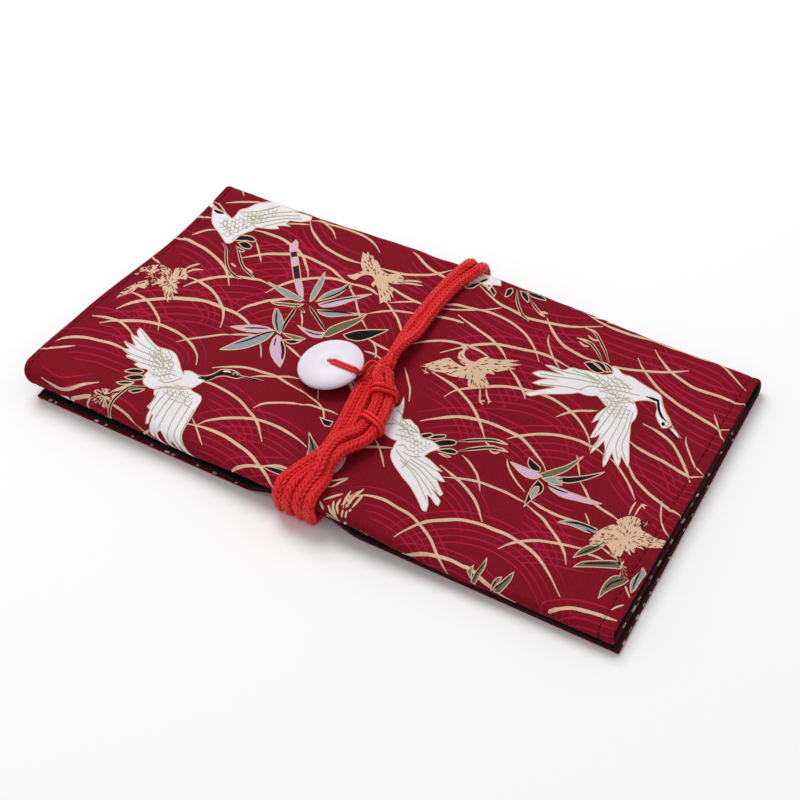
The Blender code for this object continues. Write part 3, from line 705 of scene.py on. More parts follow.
FIELDS = """
w 213,207 218,209 224,212 228,215 232,219 236,215 240,210 248,208 257,204 268,202 276,201 284,205 \
292,208 300,211 292,211 305,214 312,217 311,221 300,222 290,221 286,224 291,227 284,226 277,226 \
279,229 270,229 262,228 256,228 252,231 246,233 240,236 235,240 231,243 226,243 223,239 219,233 \
215,228 212,222 212,215
w 205,202 210,197 214,200 213,204 218,209 213,208 209,206
w 140,328 143,331 148,337 153,343 158,347 165,349 171,351 176,355 179,362 181,369 184,375 184,371 \
190,371 196,374 201,378 205,381 198,385 192,388 184,389 175,388 165,387 156,389 150,388 144,384 \
143,378 146,373 149,371 146,369 140,368 134,364 138,363 133,360 127,357 126,355 131,355 127,353 \
122,349 130,349 126,345 124,341 130,344 136,346 134,343 132,338 131,334 135,336 139,338 137,332
w 155,387 154,394 156,398 151,403 147,407 150,410 147,416 145,422 148,422 152,414 153,416 149,424 \
147,430 150,434 153,428 152,436 156,442 158,443 155,434 156,430 160,429 162,434 163,441 167,448 \
171,451 168,443 168,438 171,440 174,447 180,454 176,446 175,441 178,445 182,451 191,460 185,450 \
182,442 182,434 186,426 191,418 195,411 198,406 201,401 201,397 197,394 192,391 189,387
w 393,383 396,389 397,397 395,404 392,412 389,420 386,418 389,410 391,400 392,391
w 386,425 390,416 394,409 399,406 401,404 404,397 404,405 403,412 401,418 404,420 410,420 414,424 \
418,428 420,434 422,438 430,440 435,443 440,448 436,450 430,452 424,456 431,461 436,466 443,472 \
436,470 441,476 445,482 440,481 436,477 439,486 443,494 440,496 436,492 431,488 436,495 440,501 \
438,506 435,504 431,498 427,495 428,505 426,512 422,510 419,503 414,493 409,485 403,478 398,471 \
394,465 391,458 391,452 394,446 397,441 392,439 386,435 381,430
w 358,420 362,412 366,405 370,401 375,404 372,412 366,420 362,426
w 545,365 553,366 563,370 572,368 580,370 588,371 598,374 606,375 613,374 612,366 618,369 623,374 \
632,377 642,384 650,389 657,393 661,396 662,404 665,412 668,418 671,425 667,428 662,428 658,421 \
656,415 657,408 655,403 648,401 640,401 633,402 620,403 608,404 602,401 597,396 592,396 585,395 \
578,393 572,394 560,394 545,394 537,395 530,396 524,393 535,391 545,389 557,387 550,386 540,385 \
532,383 540,380 548,379 559,380 548,378 540,377 532,373 540,371 550,372 564,375 553,370
w 600,399 604,404 607,407 600,412 596,416 592,423 598,420 600,420 596,427 590,438 595,437 600,434 \
598,440 593,447 590,454 596,449 602,443 604,441 605,450 603,460 603,467 606,464 610,456 612,452 \
615,462 618,467 620,462 621,455 625,463 628,468 629,460 629,445 630,433 631,424 635,419 637,413 \
636,407 633,400 616,398
w 460,283 467,276 475,271 484,271 488,275 495,277 501,279 501,286 493,285 489,291 484,285 476,282 \
468,286 462,287
w 36,388 48,389 57,391 54,397 46,395 38,392
k 232,240 238,236 246,236 252,237 256,240 253,242 246,241 238,241
k 238,243 246,242 252,246 250,249 243,248
k 237,247 245,251 242,252 237,250
k 124,371 130,369 138,369 144,371 142,373 132,373
k 124,377 132,375 140,375 146,377 142,379 132,380
k 116,382 124,381 134,382 130,384 120,384
k 128,391 136,389 145,389 142,391 134,393
k 422,434 430,433 434,435 426,438 421,437
k 428,438 436,435 446,435 445,438 434,439
k 434,442 442,440 452,440 457,442 454,445 446,446 439,446
k 436,450 444,449 452,449 458,452 455,454 446,453
k 438,453 446,455 451,457 446,457
k 584,363 590,362 598,365 604,372 598,373 591,370
k 591,361 600,362 607,367 611,372 606,372 598,367
k 603,362 610,366 614,372 608,372
k 461,284 466,288 473,288 480,284 487,281 489,278 484,279 478,282 470,284
k 482,285 488,288 494,297 496,293 491,286
k 505,297 507,290 512,288 513,292 509,296
k 520,291 526,293 529,299 528,303 523,298
k 527,291 537,293 544,297 546,301 538,299 530,296
s 268,282 276,286 286,290 296,295 304,300 298,301 288,298 279,292
o 270,302 282,303 295,304 304,304 297,307 285,306 276,305
s 310,302 311,295 315,287 320,279 325,272 324,281 320,290 314,299
s 316,302 322,296 331,291 341,288 350,283 344,291 334,297 323,300
l 318,304 330,301 345,298 362,295 372,294 352,301 337,306 322,307
s 317,310 330,311 345,313 367,314 345,316 330,317 320,314
o 322,336 330,328 345,322 358,318 367,314 360,321 350,327 338,333 328,337
k 343,335 355,331 370,330 389,330 378,335 368,339 358,341 348,339
s 275,309 273,316 273,323 276,331 280,334 284,327 282,318 278,310
l 230,327 240,326 253,325 265,327 275,331 265,332 252,332 240,330
s 219,350 232,344 245,338 260,334 275,331 268,339 258,344 245,348 232,350
l 277,335 272,341 270,350 273,359 280,368 284,359 285,348 281,338
o 282,333 292,335 306,339 298,341 288,337
k 283,340 293,340 303,340 298,343 290,344
l 297,325 305,329 315,332 325,333 322,338 312,337 304,332
l 290,246 292,244 296,240 298,243 297,251 290,252
p 290,252 297,251 298,257 291,258
l 291,258 298,257 299,265 292,267
p 292,266 299,264 301,279 294,280
l 294,280 301,279 303,290 303,298 298,293
o 309,432 309,445 307,456 312,456 318,448 312,438
k 261,466 275,468 290,473 285,476 272,472
l 333,472 338,463 344,455 346,458 342,466 336,472
k 320,417 326,420 333,422 330,427 324,425
l 510,462 518,465 528,469 538,473 541,477 534,479 526,477 518,471
k 529,458 533,461 540,468 540,472 532,470 528,464
o 540,474 552,470 565,466 575,461 584,456 576,464 566,471 554,476 543,479
k 556,477 570,477 585,476 605,472 595,477 582,481 568,483 557,481
s 542,479 552,477 562,479 562,485 552,484
l 548,484 560,488 572,493 585,498 602,504 590,504 574,500 560,496 550,489
k 538,480 543,486 542,492 535,497 528,503 524,507 527,497 532,487
s 535,487 539,487 538,492 531,499 530,494
s 557,522 570,520 582,523 597,529 597,534 586,532 572,526
o 573,558 580,550 588,546 597,543 609,540 601,548 590,553 580,556
o 573,567 582,562 595,561 610,561 620,562 620,569 605,568 590,567
o 598,599 602,588 608,580 615,576 625,577 629,580 622,585 612,589 604,594
s 630,588 632,580 638,574 643,568 646,574 640,582 635,590 631,593
o 470,580 476,572 482,565 487,558 485,567 480,575 474,582
o 467,571 474,565 472,570 471,578
o 489,589 493,582 497,578 502,577 498,583
o 492,590 500,583 507,577 514,572 511,580 505,587 498,591
w 348,385 352,380 357,384 362,391 363,396 358,397 353,392
"""
GOLD_FIELDS = """
g 139,271 141,268 150,266 160,265 166,267 167,269 160,270 160,274 157,280 154,282 151,277 144,278 \
150,276 145,273 147,271 140,272
g 116,298 122,291 130,286 139,282 148,280 149,285 144,289 138,287 132,292 124,295
g 150,281 158,277 160,270 165,270 168,268 171,270 172,276 175,269 180,268 187,269 186,273 188,276 \
186,280 180,279 176,280 180,283 176,284 178,289 174,288 178,294 174,293 172,291 174,299 171,298 \
169,294 168,303 165,298 163,292 162,287 166,284 160,287 157,284 152,286
g 134,274 139,272 138,275
g 350,278 347,275 352,275 358,273 363,271 361,265 362,257 363,252 366,255 368,252 370,256 373,256 \
374,260 377,261 380,266 382,270 388,274 394,274 399,274 404,278 402,284 394,284 387,282 390,286 \
394,290 392,293 394,298 390,296 391,302 388,300 387,304 384,302 380,304 379,296 378,290 376,284 \
373,287 371,284 375,280 372,276 366,275 360,277 355,280
g 420,366 430,363 440,360 449,358 454,362 459,365 464,367 466,366 461,363 458,358 459,353 463,350 \
461,345 468,344 470,347 466,350 464,355 467,359 474,362 480,359 486,357 493,359 500,360 508,360 \
520,361 508,363 522,365 508,367 516,369 504,371 497,372 492,370 495,375 488,373 485,376 489,384 \
485,388 480,386 476,386 472,389 468,386 468,379 460,378 450,376 444,373 436,372 428,371 432,369 \
422,370 428,368
g 589,541 592,537 600,530 612,525 619,526 616,522 620,519 630,516 638,518 641,521 641,529 647,533 \
655,538 666,541 662,548 650,548 640,545 644,550 636,547 634,553 629,549 631,556 624,550 621,556 \
614,559 610,550 606,545 598,547 591,546
g 643,523 646,520 649,523 648,528 644,527
g 616,558 622,559 626,566 627,576 620,576 619,566
g 340,507 345,500 350,496 358,491 352,502 346,508
g 354,533 357,528 362,531 368,538 361,538
g 88,397 95,390 104,388 114,391 120,395 112,400 105,405 97,402
g 420,371 424,369 432,372 426,375
g 464,345 470,346 468,350
"""
STROKES = """
h 1 240,212 255,212 270,209 280,206
h 1 246,217 260,216 275,213 292,212
h 1 252,220 266,218 282,216 300,216
h 1 256,224 270,221 285,219 302,219
h 1 262,227 274,224 286,222
h 1 224,220 228,222 226,226 231,228 229,232
h 1 232,221 236,223 234,227 239,229 238,233
h 1 241,219 245,221 243,226 248,229
h 1 250,217 254,220 252,225 256,227
h 1 222,222 225,227 229,231 233,236
h 1 258,216 262,219 260,224
h 1 141,331 147,340 155,348 160,352
h 1 132,336 142,345 152,351 160,356
h 1 125,342 138,350 150,355 161,360
h 1 124,350 136,356 150,361 160,364
h 1 128,357 142,363 152,366 162,368
h 1 160,348 161,356 163,364 160,370
h 1 168,351 172,358 168,364 172,369
h 1 163,362 170,360 174,364 170,370 163,368 163,362
h 1 152,374 160,376 168,374 176,376
h 1 158,380 166,383 174,381 182,378
h 1 158,392 152,402 148,408
h 1 168,391 158,402 151,412
h 1 176,391 164,405 154,420
h 1 182,392 168,410 158,428
h 1 188,396 176,414 167,432 165,444
h 1 192,402 182,418 174,434 176,446
h 1 194,410 186,424 180,436 184,450
h 1 180,392 186,398 184,404 190,408
h 1 156,389 166,388 178,389 190,389
h 1 388,424 396,424 404,428 412,436
h 1 392,419 400,424 408,430
h 1 397,410 402,416 400,424
h 1 402,420 410,426 418,432
h 1 398,430 406,430 414,432 420,433
h 1 395,434 403,437 410,437
h 1 396,450 402,458 408,462 402,468
h 1 400,460 412,472 420,486 426,500
h 1 404,462 416,472 426,486 432,496
h 1 408,461 420,470 430,482 438,492
h 1 410,459 424,468 434,478 442,482
h 1 412,456 426,464 438,472
h 1 398,446 404,445 408,450 414,452
h 1 403,452 410,456 420,457
h 1 540,374 560,377 580,380 600,384
h 1 540,384 560,386 580,390
h 1 548,367 565,372 582,376 600,382
h 1 572,370 588,376 602,384 606,390
h 1 585,373 597,380 606,388
h 1 596,375 606,382 612,388
h 1 606,376 614,382 620,388
h 1 613,376 622,382 630,389
h 1 580,390 590,386 600,388 612,386 626,388
h 1 600,392 612,390 624,392 640,396
h 1 612,404 604,412 598,420
h 1 618,404 606,420 594,436
h 1 622,406 612,424 600,440 594,448
h 1 626,408 618,426 608,444 604,460
h 1 630,410 624,428 616,446 618,460
h 1 633,412 628,430 622,446 626,462
h 1 606,398 616,402 626,400 634,404
h 1 612,394 620,398 630,398
k 2.6 214,210 218,212 224,213.5
k 3 198,378 206,379 213,377 220,373.5 226,373 231,375
k 2 231,375 236,377 240,376
g 1.6 214,202 219,204 223,209 227,214
g 1.2 190,371 198,375 206,376 214,374 221,370 231,370 238,373 241,376 252,378 264,381
g 1.2 205,382 212,379.5 218,377 225,376.5 232,378 237,379 241,378 252,380
k 1.2 240,377 250,379 260,380.5
w 1.6 223,372 227,371.5 231,372.5
h 1.2 233,374 235,372.5 238,374 237,377 234,377 233,374
k 2.6 646,397 652,399 658,401 659,410 662,417 666,421
k 3 663,422 663,426
h 1.2 664,424 666,421 669,423 668,426 665,426 664,424
w 2 670,428 674,432 679,438
g 1.2 662,397 663,405 666,413 669,418 672,426 676,432 682,439
k 1.4 667,429 671,433 676,438 680,440
g 4 222,243 226,249 226,258 227,266 230,272 236,277 241,279
k 1.6 222,243 226,249 226,258 227,266 230,272 236,277 240,278
g 4 236,246 239,254 241,262 244,268 249,273 255,279
k 1.6 236,246 239,254 241,262 244,268 249,273 254,278
g 2.4 231,264 236,267
g 2.4 244,267 253,273
g 4 146,386 130,387 122,392 112,401 103,410 97,413 92,411
k 1.5 146,386 130,387 122,392 112,401 103,410 97,413
g 3.6 134,383 126,386 119,389 112,391
k 1.4 99,392 105,395 113,393
g 4.6 458,441.5 470,440.5 485,440 495,440.5 502,442.5 508,445
k 1.8 458,441.5 470,440.5 485,440 495,440.5 502,442.5
g 4.6 459,451 470,449.5 485,448 495,448 503,450 508,452.5
k 1.8 459,451 470,449.5 485,448 495,448 503,450
g 2.4 485,442 490,446 495,446
g 2.4 489,450 494,453 500,452
g 3.8 603,363 598,353 592,345 587,342 577,338
k 1.5 603,363 598,353 592,345 587,342
g 3.8 609,363 605,351 601,343 598,337 594,332 585,328
k 1.5 609,363 605,351 601,343 598,337 594,332
g 2.4 579,342 584,346 589,347
g 2.4 588,336 593,340 599,341
g 3.8 517,290 517,300 519,308 523,316 529,321
k 1.5 517,290 517,300 519,308 523,316 528,320
g 3.8 530,300 535,307 540,313 545,317
k 1.5 530,300 535,307 540,313
g 2.4 541,312 548,314
g 2.2 402,281 412,281 422,282.5
g 2.2 402,283 412,284 423,286
g 2.2 480,388 480,396 480,401 483,405
g 2.2 486,388 487,396 489,401 488,404
g 1.8 480,401 485,401
g 1.8 489,401 491,402
g 2.2 185,269 192,266 200,264
g 2.2 186,273 194,270 203,270
g 2.4 150,256 155,260 160,264
g 2.2 629,515 632,508 636,502
g 2.2 634,517 638,510 642,505 647,506
g 2 641,504 645,509
k 1.2 641,519 642,524 643,530
g 3 336,525 331,517 325,511
g 3 338,520 331,511 328,505
g 3 336,517 333,508 334,501
g 3 338,513 337,506 341,499
g 3 343,506 346,499 351,491
g 3.2 348,505 354,497 364,489
g 3 352,508 358,501 363,495
g 2.6 341,516 343,510
g 2.6 345,517 347,511
g 2.6 349,512 351,509
g 2.8 327,520 322,513
g 2.8 323,508 320,501
g 3 339,523 345,520
g 2.6 330,523 323,517
g 3.2 317,522 321,518
g 4.4 309,306 314,314 320,323 326,333
k 2.2 309,306 314,314 320,323 326,332
g 4.4 297,306 291,315 285,324 282,332
k 2.2 297,306 291,315 285,324 282,332
g 3 299,307 305,313
k 1.6 299,307 304,312
k 1.4 323,299 334,295 344,290 350,284
k 1.2 320,305 340,300 360,297
k 1.6 318,311 335,312 352,314
k 1.6 277,311 276,321 278,331
k 1.4 235,344 250,339 263,334 275,331.5
k 1.2 244,328 256,328 268,329
p 3 281,341 283,350 282,360
k 1.2 276,338 274,346
k 1.2 305,331 314,334 322,335
k 1.2 558,479.5 575,479.5 590,478
k 1.4 545,484 556,489 568,493
k 2 566,522 578,523.5 590,527.5 597,531
k 1.6 586,530 594,534
k 1.4 578,555 592,549 604,543
p 2.4 584,563.5 600,563.5 616,564
k 1.6 604,590 612,583 624,579
k 1.6 641,570 636,580 632,590
k 1.4 472,579 478,571 485,562
k 1.4 493,588 502,583 511,575
k 1.2 492,586 496,581
k 1.5 352,383 356,389 359,395
k 1.4 356,383 361,390
k 1.7 309,436 312,444 314,452
k 1.2 306,440 308,450
"""

# Widths in pixels, or as a share of the tables' widths.
ARC_WIDTH = 0.72
STROKE_WIDTH = {"g": 0.82, "h": 0.95}
ECHO_WIDTH = 1.5
ECHO_GAPS = (-9, 8.5, 15.5, 22.5)
ECHOED_FROM = 3.3
FIELD_OUTLINE, WHITE_OUTLINE = 1.0, 0.8
# How far each layer of the print lies above the cloth.
ECHO_LIFT, ARC_LIFT, FIELD_LIFT, OUTLINE_LIFT = 0.000030, 0.000050, 0.000070, 0.000092
GAP_LIFT, SMALL_FEATHER_LIFT, STROKE_LIFT, STROKE_STEP = 0.000095, 0.000100, 0.000108, 0.000013
SHAPE_STEP = 0.0000015
# A corner is rounded where the cosine of its turn is above this.
BLUNT_CORNER = 0.55
# A tapered stroke's width at its tips, as a share of its full width.
STROKE_TIP = 0.35
# The strokes between a gold bird's feathers, in pixels: how many are tried, and their sizes.
FEATHER_GAPS_TRIED = 190
FEATHER_GAP_SHORTEST, FEATHER_GAP_SPREAD, FEATHER_GAP_WIDTH = 2.2, 3.2, 0.95
# The cranes' small feathers, in pixels: their spacing, half their size, and their line.
SMALL_FEATHER_SPACING = (4.6, 3.6)
SMALL_FEATHER_HALF_SIZE = (2.3, 2.6)
SMALL_FEATHER_WIDTH = 0.65
# How far inside an outline's corners a small stroke has to stay, in pixels.
INSIDE_MARGIN = 1.3

PRINT_COLOURS = {
    "g": ("print_gold", (0.79, 0.54, 0.37)),
    "w": ("print_white", (0.90, 0.86, 0.89)),
    "k": ("print_black", (0.012, 0.010, 0.013)),
    "h": ("print_khaki", (0.52, 0.50, 0.31)),
    "o": ("print_olive", (0.17, 0.15, 0.085)),
    "s": ("print_grey", (0.32, 0.37, 0.38)),
    "l": ("print_lilac", (0.70, 0.47, 0.62)),
    "p": ("print_plum", (0.055, 0.014, 0.026)),
    "r": ("print_light_red", (0.46, 0.012, 0.052)),
    "c": ("print_crimson", CRIMSON),
}


def colour_name(letter):
    return PRINT_COLOURS[letter][0].removeprefix("print_")


def read_points(text):
    return np.array([[float(value) for value in pair.split(",")] for pair in text.split()])


def cloth_places(pixels):
    """Where picture points fall on the unrolled top panel: x, and the way from the near fold."""
    right, up, forward = (np.array(axis) for axis in camera_axes())
    eye = np.array(CAMERA_PLACE) - ORIGIN
    ray = (forward + right * ((pixels[:, :1] - PICTURE_PIXELS / 2) / FOCAL_PIXELS)
           + up * ((PICTURE_PIXELS / 2 - pixels[:, 1:]) / FOCAL_PIXELS))
    height = np.full(len(pixels), 0.008)
    for _ in range(12):
        reach = (height - eye[2]) / ray[:, 2]
        x, y = eye[0] + reach * ray[:, 0], eye[1] + reach * ray[:, 1]
        height = top_height(x, y) + OUTER_REACH
    flat_x = x.copy()
    for _ in range(6):
        flat_x = x - end_shift(flat_x, np.full(len(x), float(TOP_ROW + 1)), y, height)
    return np.stack([flat_x, y - near_fold(flat_x)[0]], axis=1)


def unrolled_point(flat_x, way, lift):
    """The point of the outer face at this place of the unrolled cloth."""
    near_middle, _, near_radius = near_fold(flat_x)
    far_middle, _, far_radius = far_fold(flat_x)
    near_turn = math.pi * (near_radius + OUTER_REACH)
    far_turn = math.pi * (far_radius + OUTER_REACH)
    panel = far_middle - near_middle
    inner = near_fold_edge(flat_x) + INNER_PANEL_WIDTH - near_middle
    lower = far_middle + HALF_WIDTH
    row = np.select(
        [way < -near_turn, way < 0, way < panel, way < panel + far_turn],
        [
            NEAR_FOLD_ROW + (way + near_turn) / inner * NEAR_FOLD_ROW,
            TOP_ROW + way / near_turn * (TOP_ROW - NEAR_FOLD_ROW),
            TOP_ROW + way / panel * (FAR_FOLD_ROW - TOP_ROW),
            FAR_FOLD_ROW + (way - panel) / far_turn * (BOTTOM_ROW - FAR_FOLD_ROW),
        ],
        BOTTOM_ROW + (way - panel - far_turn) / lower * (LAST_ROW - BOTTOM_ROW),
    )
    turn = np.clip((np.abs(flat_x) - HALF_LENGTH + ROUND) / ROUND, 0, math.pi / 2)
    end = HALF_LENGTH - ROUND + ROUND * np.sin(turn)
    x = np.where(turn > 0, np.sign(flat_x) * end, flat_x)
    distance = HALF_CLEARANCE + (OUTER_CLOTH + relief(x, row) + lift) * np.cos(turn)
    points = cloth_surface(x, np.clip(row, 0, LAST_ROW), distance)
    points[..., 0] += np.sign(flat_x) * lift * np.sin(turn)
    return points


def rounded_outline(points, closed=True, steps=4):
    """A curve through these points that keeps their sharp corners."""
    count = len(points)
    line = []
    for i in range(count if closed else count - 1):
        start, end = points[i], points[(i + 1) % count]
        before = points[i - 1] if closed or i > 0 else start
        after = points[(i + 2) % count] if closed or i + 2 < count else end
        step = end - start
        slopes = []
        for a, b in ((start - before, step), (step, after - end)):
            size = np.linalg.norm(a) * np.linalg.norm(b)
            blunt = size > 0 and np.dot(a, b) / size > BLUNT_CORNER
            slopes.append((a + b) / 2 if blunt else step)
        limit = np.linalg.norm(step)
        slopes = [slope * min(1, limit / max(np.linalg.norm(slope), 1e-9)) for slope in slopes]
        for k in range(steps):
            t = k / steps
            line.append((2 * t**3 - 3 * t**2 + 1) * start + (t**3 - 2 * t**2 + t) * slopes[0]
                        + (3 * t**2 - 2 * t**3) * end + (t**3 - t**2) * slopes[1])
    if not closed:
        line.append(points[-1])
    return np.array(line)


def stroke_quads(line, width, tapered, closed=False):
    """Both edges of a brush stroke along this line, in pixels, as quads."""
    if closed:
        line = np.concatenate([line, line[:1]])
        way = np.roll(line[:-1], -1, axis=0) - np.roll(line[:-1], 1, axis=0)
        way = np.concatenate([way, way[:1]])
    else:
        way = np.gradient(line, axis=0)
    way /= np.maximum(np.linalg.norm(way, axis=1), 1e-9)[:, None]
    side = np.stack([-way[:, 1], way[:, 0]], axis=1)
    share = np.linspace(0, 1, len(line))
    half = np.full(len(line), width / 2)
    if tapered:
        for from_tip in (share, 1 - share):
            half *= between(STROKE_TIP, 1, smooth(from_tip * 4))
        half *= 1 + 0.07 * np.sin(line[:, 0] * 1.9 + line[:, 1] * 1.3)
    left, right = line + side * half[:, None], line - side * half[:, None]
    return [np.array([left[i], right[i], right[i + 1], left[i + 1]]) for i in range(len(line) - 1)]


PRINT_MATERIALS = {
    letter: cotton(name, colour, speckle=0.10 if min(colour) > 0.45 else 0.26)
    for letter, (name, colour) in PRINT_COLOURS.items()
}
# Where the print's shapes are cut, in mm, closer together at the rounded ends and in the folds.
X_CUTS = [
    *np.arange(-99, 99.1, 3),
    *(side * (99.3 + 0.45 * i) for side in (-1, 1) for i in range(13)),
    *(side * (104.86 + 0.12 * i) for side in (-1, 1) for i in range(6)),
]
WAY_CUTS = [
    *np.arange(-126, -18, 3), *np.arange(-18, 0, 0.6), *np.arange(0, 108, 3),
    *np.arange(108, 134, 0.6), *np.arange(134, 250, 3),
]
# The print repeats, mirrored, on the inner and the bottom panel: a side's sign and a shift, in mm.
REPEATS = [(1, 0), (-1, 124), (-1, -124)]
PANEL_START = {124: 118, -124: -130}
PANEL_WIDTH_MM = 116


def add_print(name, letter, shapes, lift, repeated=True):
    """One colour of the print: shapes in pixels, laid on the cloth and cut to follow its curves."""
    sheet = bmesh.new()
    heights = sheet.verts.layers.float.new("lift")
    for i, shape in enumerate(shapes):
        places = cloth_places(np.concatenate(shape)) * 1000
        start = 0
        for polygon in shape:
            flat = places[start:start + len(polygon)]
            start += len(polygon)
            faces = [range(len(flat))]
            if len(flat) > 4:
                corners = [Vector(place) for place in flat]
                flat, _, faces, *_ = delaunay_2d_cdt(corners, [], faces, 1, 0.00001)
            for side, shift in REPEATS:
                beyond = shift + flat[0][1] - PANEL_START.get(shift, 0)
                if shift and not (repeated and 0 < beyond < PANEL_WIDTH_MM):
                    continue
                corners = [sheet.verts.new((side * x, way + shift, 0)) for x, way in flat]
                for corner in corners:
                    corner[heights] = lift + (i % 8) * SHAPE_STEP
                for face in faces:
                    sheet.faces.new([corners[k] for k in face])
    for cuts, direction in ((X_CUTS, (1, 0, 0)), (WAY_CUTS, (0, 1, 0))):
        for cut in cuts:
            place = tuple(cut * value for value in direction)
            bmesh.ops.bisect_plane(sheet, geom=[*sheet.verts, *sheet.edges, *sheet.faces],
                                   plane_co=place, plane_no=direction)
    sheet.verts.ensure_lookup_table()
    sheet.verts.index_update()
    flat = np.array([vertex.co[:2] for vertex in sheet.verts]) / 1000
    lifts = np.array([vertex[heights] for vertex in sheet.verts])
    limit = HALF_LENGTH - ROUND + ROUND * math.pi / 2
    points = unrolled_point(np.clip(flat[:, 0], -limit, limit), flat[:, 1], lifts)
    faces = []
    for face in sheet.faces:
        loop = [vertex.index for vertex in face.verts]
        faces.append(loop if face.normal.z > 0 else loop[::-1])
    sheet.free()
    piece = add_mesh(name, points, faces, uvs=flat / STRIP_LENGTH + 0.5)
    dress(piece, PRINT_MATERIALS[letter], "printed_cotton")


def read_table(table, leads):
    """Each line of a table as its leading words, this many, and its points."""
    rows = []
    for line in table.strip().splitlines():
        *words, points = line.split(" ", leads)
        rows.append((*words, read_points(points)))
    return rows


def is_inside(outline, place):
    """Whether this place is in the outline and not close to its corners."""
    start, end = outline, np.roll(outline, -1, axis=0)
    crosses = (start[:, 1] > place[1]) != (end[:, 1] > place[1])
    drop = np.where(crosses, end[:, 1] - start[:, 1], 1)
    meets = start[:, 0] + (place[1] - start[:, 1]) / drop * (end[:, 0] - start[:, 0])
    inside = np.count_nonzero(crosses & (place[0] < meets)) % 2 == 1
    return inside and np.linalg.norm(outline - place, axis=1).min() > INSIDE_MARGIN


def feather_gaps(outline):
    """Short strokes of the ground's colour, spread over a gold bird from its middle outwards."""
    chance = np.random.default_rng(len(outline))
    middle = outline.mean(axis=0)
    low, high = outline.min(axis=0), outline.max(axis=0)
    quads = []
    for place in low + (high - low) * chance.random((FEATHER_GAPS_TRIED, 2)):
        if is_inside(outline, place):
            outwards = (place - middle) / max(np.linalg.norm(place - middle), 1)
            reach = FEATHER_GAP_SHORTEST + FEATHER_GAP_SPREAD * chance.random()
            line = np.linspace(place, place + outwards * reach, 4)
            quads += stroke_quads(line, FEATHER_GAP_WIDTH, tapered=True)
    return quads


# Where the cranes' small feathers lie: an oval's middle, its half sizes and its turn in degrees.
SMALL_FEATHERS = [
    (162, 366, 16, 11, 50), (178, 392, 17, 8, 20), (160, 352, 12, 8, 50),
    (237, 222, 20, 10, -25), (262, 214, 16, 7, -20),
    (414, 430, 12, 14, 20), (424, 444, 12, 12, 30),
    (612, 384, 22, 9, 10), (618, 404, 15, 11, 60),
]


def small_feathers(whites):
    """Rows of small arcs, like scales, in the SMALL_FEATHERS ovals, kept on the white fields."""
    arcs = []
    column_step, row_step = SMALL_FEATHER_SPACING
    half_width, half_height = SMALL_FEATHER_HALF_SIZE
    for x, y, wide, high, degrees in SMALL_FEATHERS:
        turn = math.radians(degrees)
        for row in range(-4, 5):
            for column in range(-6, 7):
                place = np.array(((column + row % 2 / 2) * column_step, row * row_step))
                if (place[0] / wide) ** 2 + (place[1] / high) ** 2 > 1:
                    continue
                bow = np.linspace(0.1, math.pi - 0.1, 7)
                bow = np.stack([half_width * np.cos(bow), half_height * np.sin(bow)], axis=1)
                bow += place
                spun = np.stack([bow[:, 0] * math.cos(turn) - bow[:, 1] * math.sin(turn),
                                 bow[:, 0] * math.sin(turn) + bow[:, 1] * math.cos(turn)], axis=1)
                spun += (x, y)
                if any(all(is_inside(white, spun[end]) for end in (0, -1)) for white in whites):
                    arcs.append(stroke_quads(spun, SMALL_FEATHER_WIDTH, tapered=False))
    return arcs


def echoes_of(points):
    """Fainter arcs beside a gold one."""
    share = np.linspace(0, 1, len(points))
    fits = (np.polyfit(share, points[:, axis], 4) for axis in (0, 1))
    points = np.stack([np.polyval(fit, share) for fit in fits], axis=1)
    way = np.gradient(points, axis=0)
    way /= np.linalg.norm(way, axis=1)[:, None]
    side = np.stack([-way[:, 1], way[:, 0]], axis=1)
    lines = [points + side * gap + way * gap * 0.3 for gap in ECHO_GAPS]
    return [stroke_quads(line, ECHO_WIDTH, tapered=True) for line in lines]


def add_arcs():
    arcs = []
    echoes = []
    for width, points in read_table(GOLD_ARCS, 1):
        line = rounded_outline(points, closed=False)
        arcs.append(stroke_quads(line, float(width) * ARC_WIDTH, tapered=True))
        if float(width) > ECHOED_FROM:
            echoes += echoes_of(line)
    add_print("print_echoes", "r", echoes, ECHO_LIFT)
    add_print("print_arcs", "g", arcs, ARC_LIFT)


def add_fields():
    fields = {letter: [] for letter in "wkospl"}
    for letter, points in read_table(FIELDS, 1):
        fields[letter].append(rounded_outline(points))
    outlines = []
    for letter, shapes in fields.items():
        width = WHITE_OUTLINE if letter == "w" else FIELD_OUTLINE
        outlines += [stroke_quads(shape, width, tapered=False, closed=True) for shape in shapes]
        shapes = [[shape] for shape in shapes]
        add_print("fields_" + colour_name(letter), letter, shapes, FIELD_LIFT)
    birds = [rounded_outline(points) for _, points in read_table(GOLD_FIELDS, 1)]
    add_print("print_birds", "g", [[bird] for bird in birds], FIELD_LIFT)
    gaps = [quads for quads in map(feather_gaps, birds) if quads]
    add_print("print_feathers", "c", gaps, GAP_LIFT, repeated=False)
    add_print("print_outlines", "g", outlines, OUTLINE_LIFT)
    feathers = small_feathers(fields["w"])
    add_print("print_small_feathers", "h", feathers, SMALL_FEATHER_LIFT, repeated=False)


def add_strokes():
    strokes = {letter: [] for letter in "hgkwp"}
    for letter, width, points in read_table(STROKES, 2):
        line = rounded_outline(points, closed=False)
        width = float(width) * STROKE_WIDTH.get(letter, 1.0)
        strokes[letter].append(stroke_quads(line, width, tapered=letter != "h"))
    for order, (letter, shapes) in enumerate(strokes.items()):
        lift = STROKE_LIFT + order * STROKE_STEP
        add_print("strokes_" + colour_name(letter), letter, shapes, lift, repeated=False)


add_arcs()
add_fields()
add_strokes()

# -------------------------------------------------------------- the tie

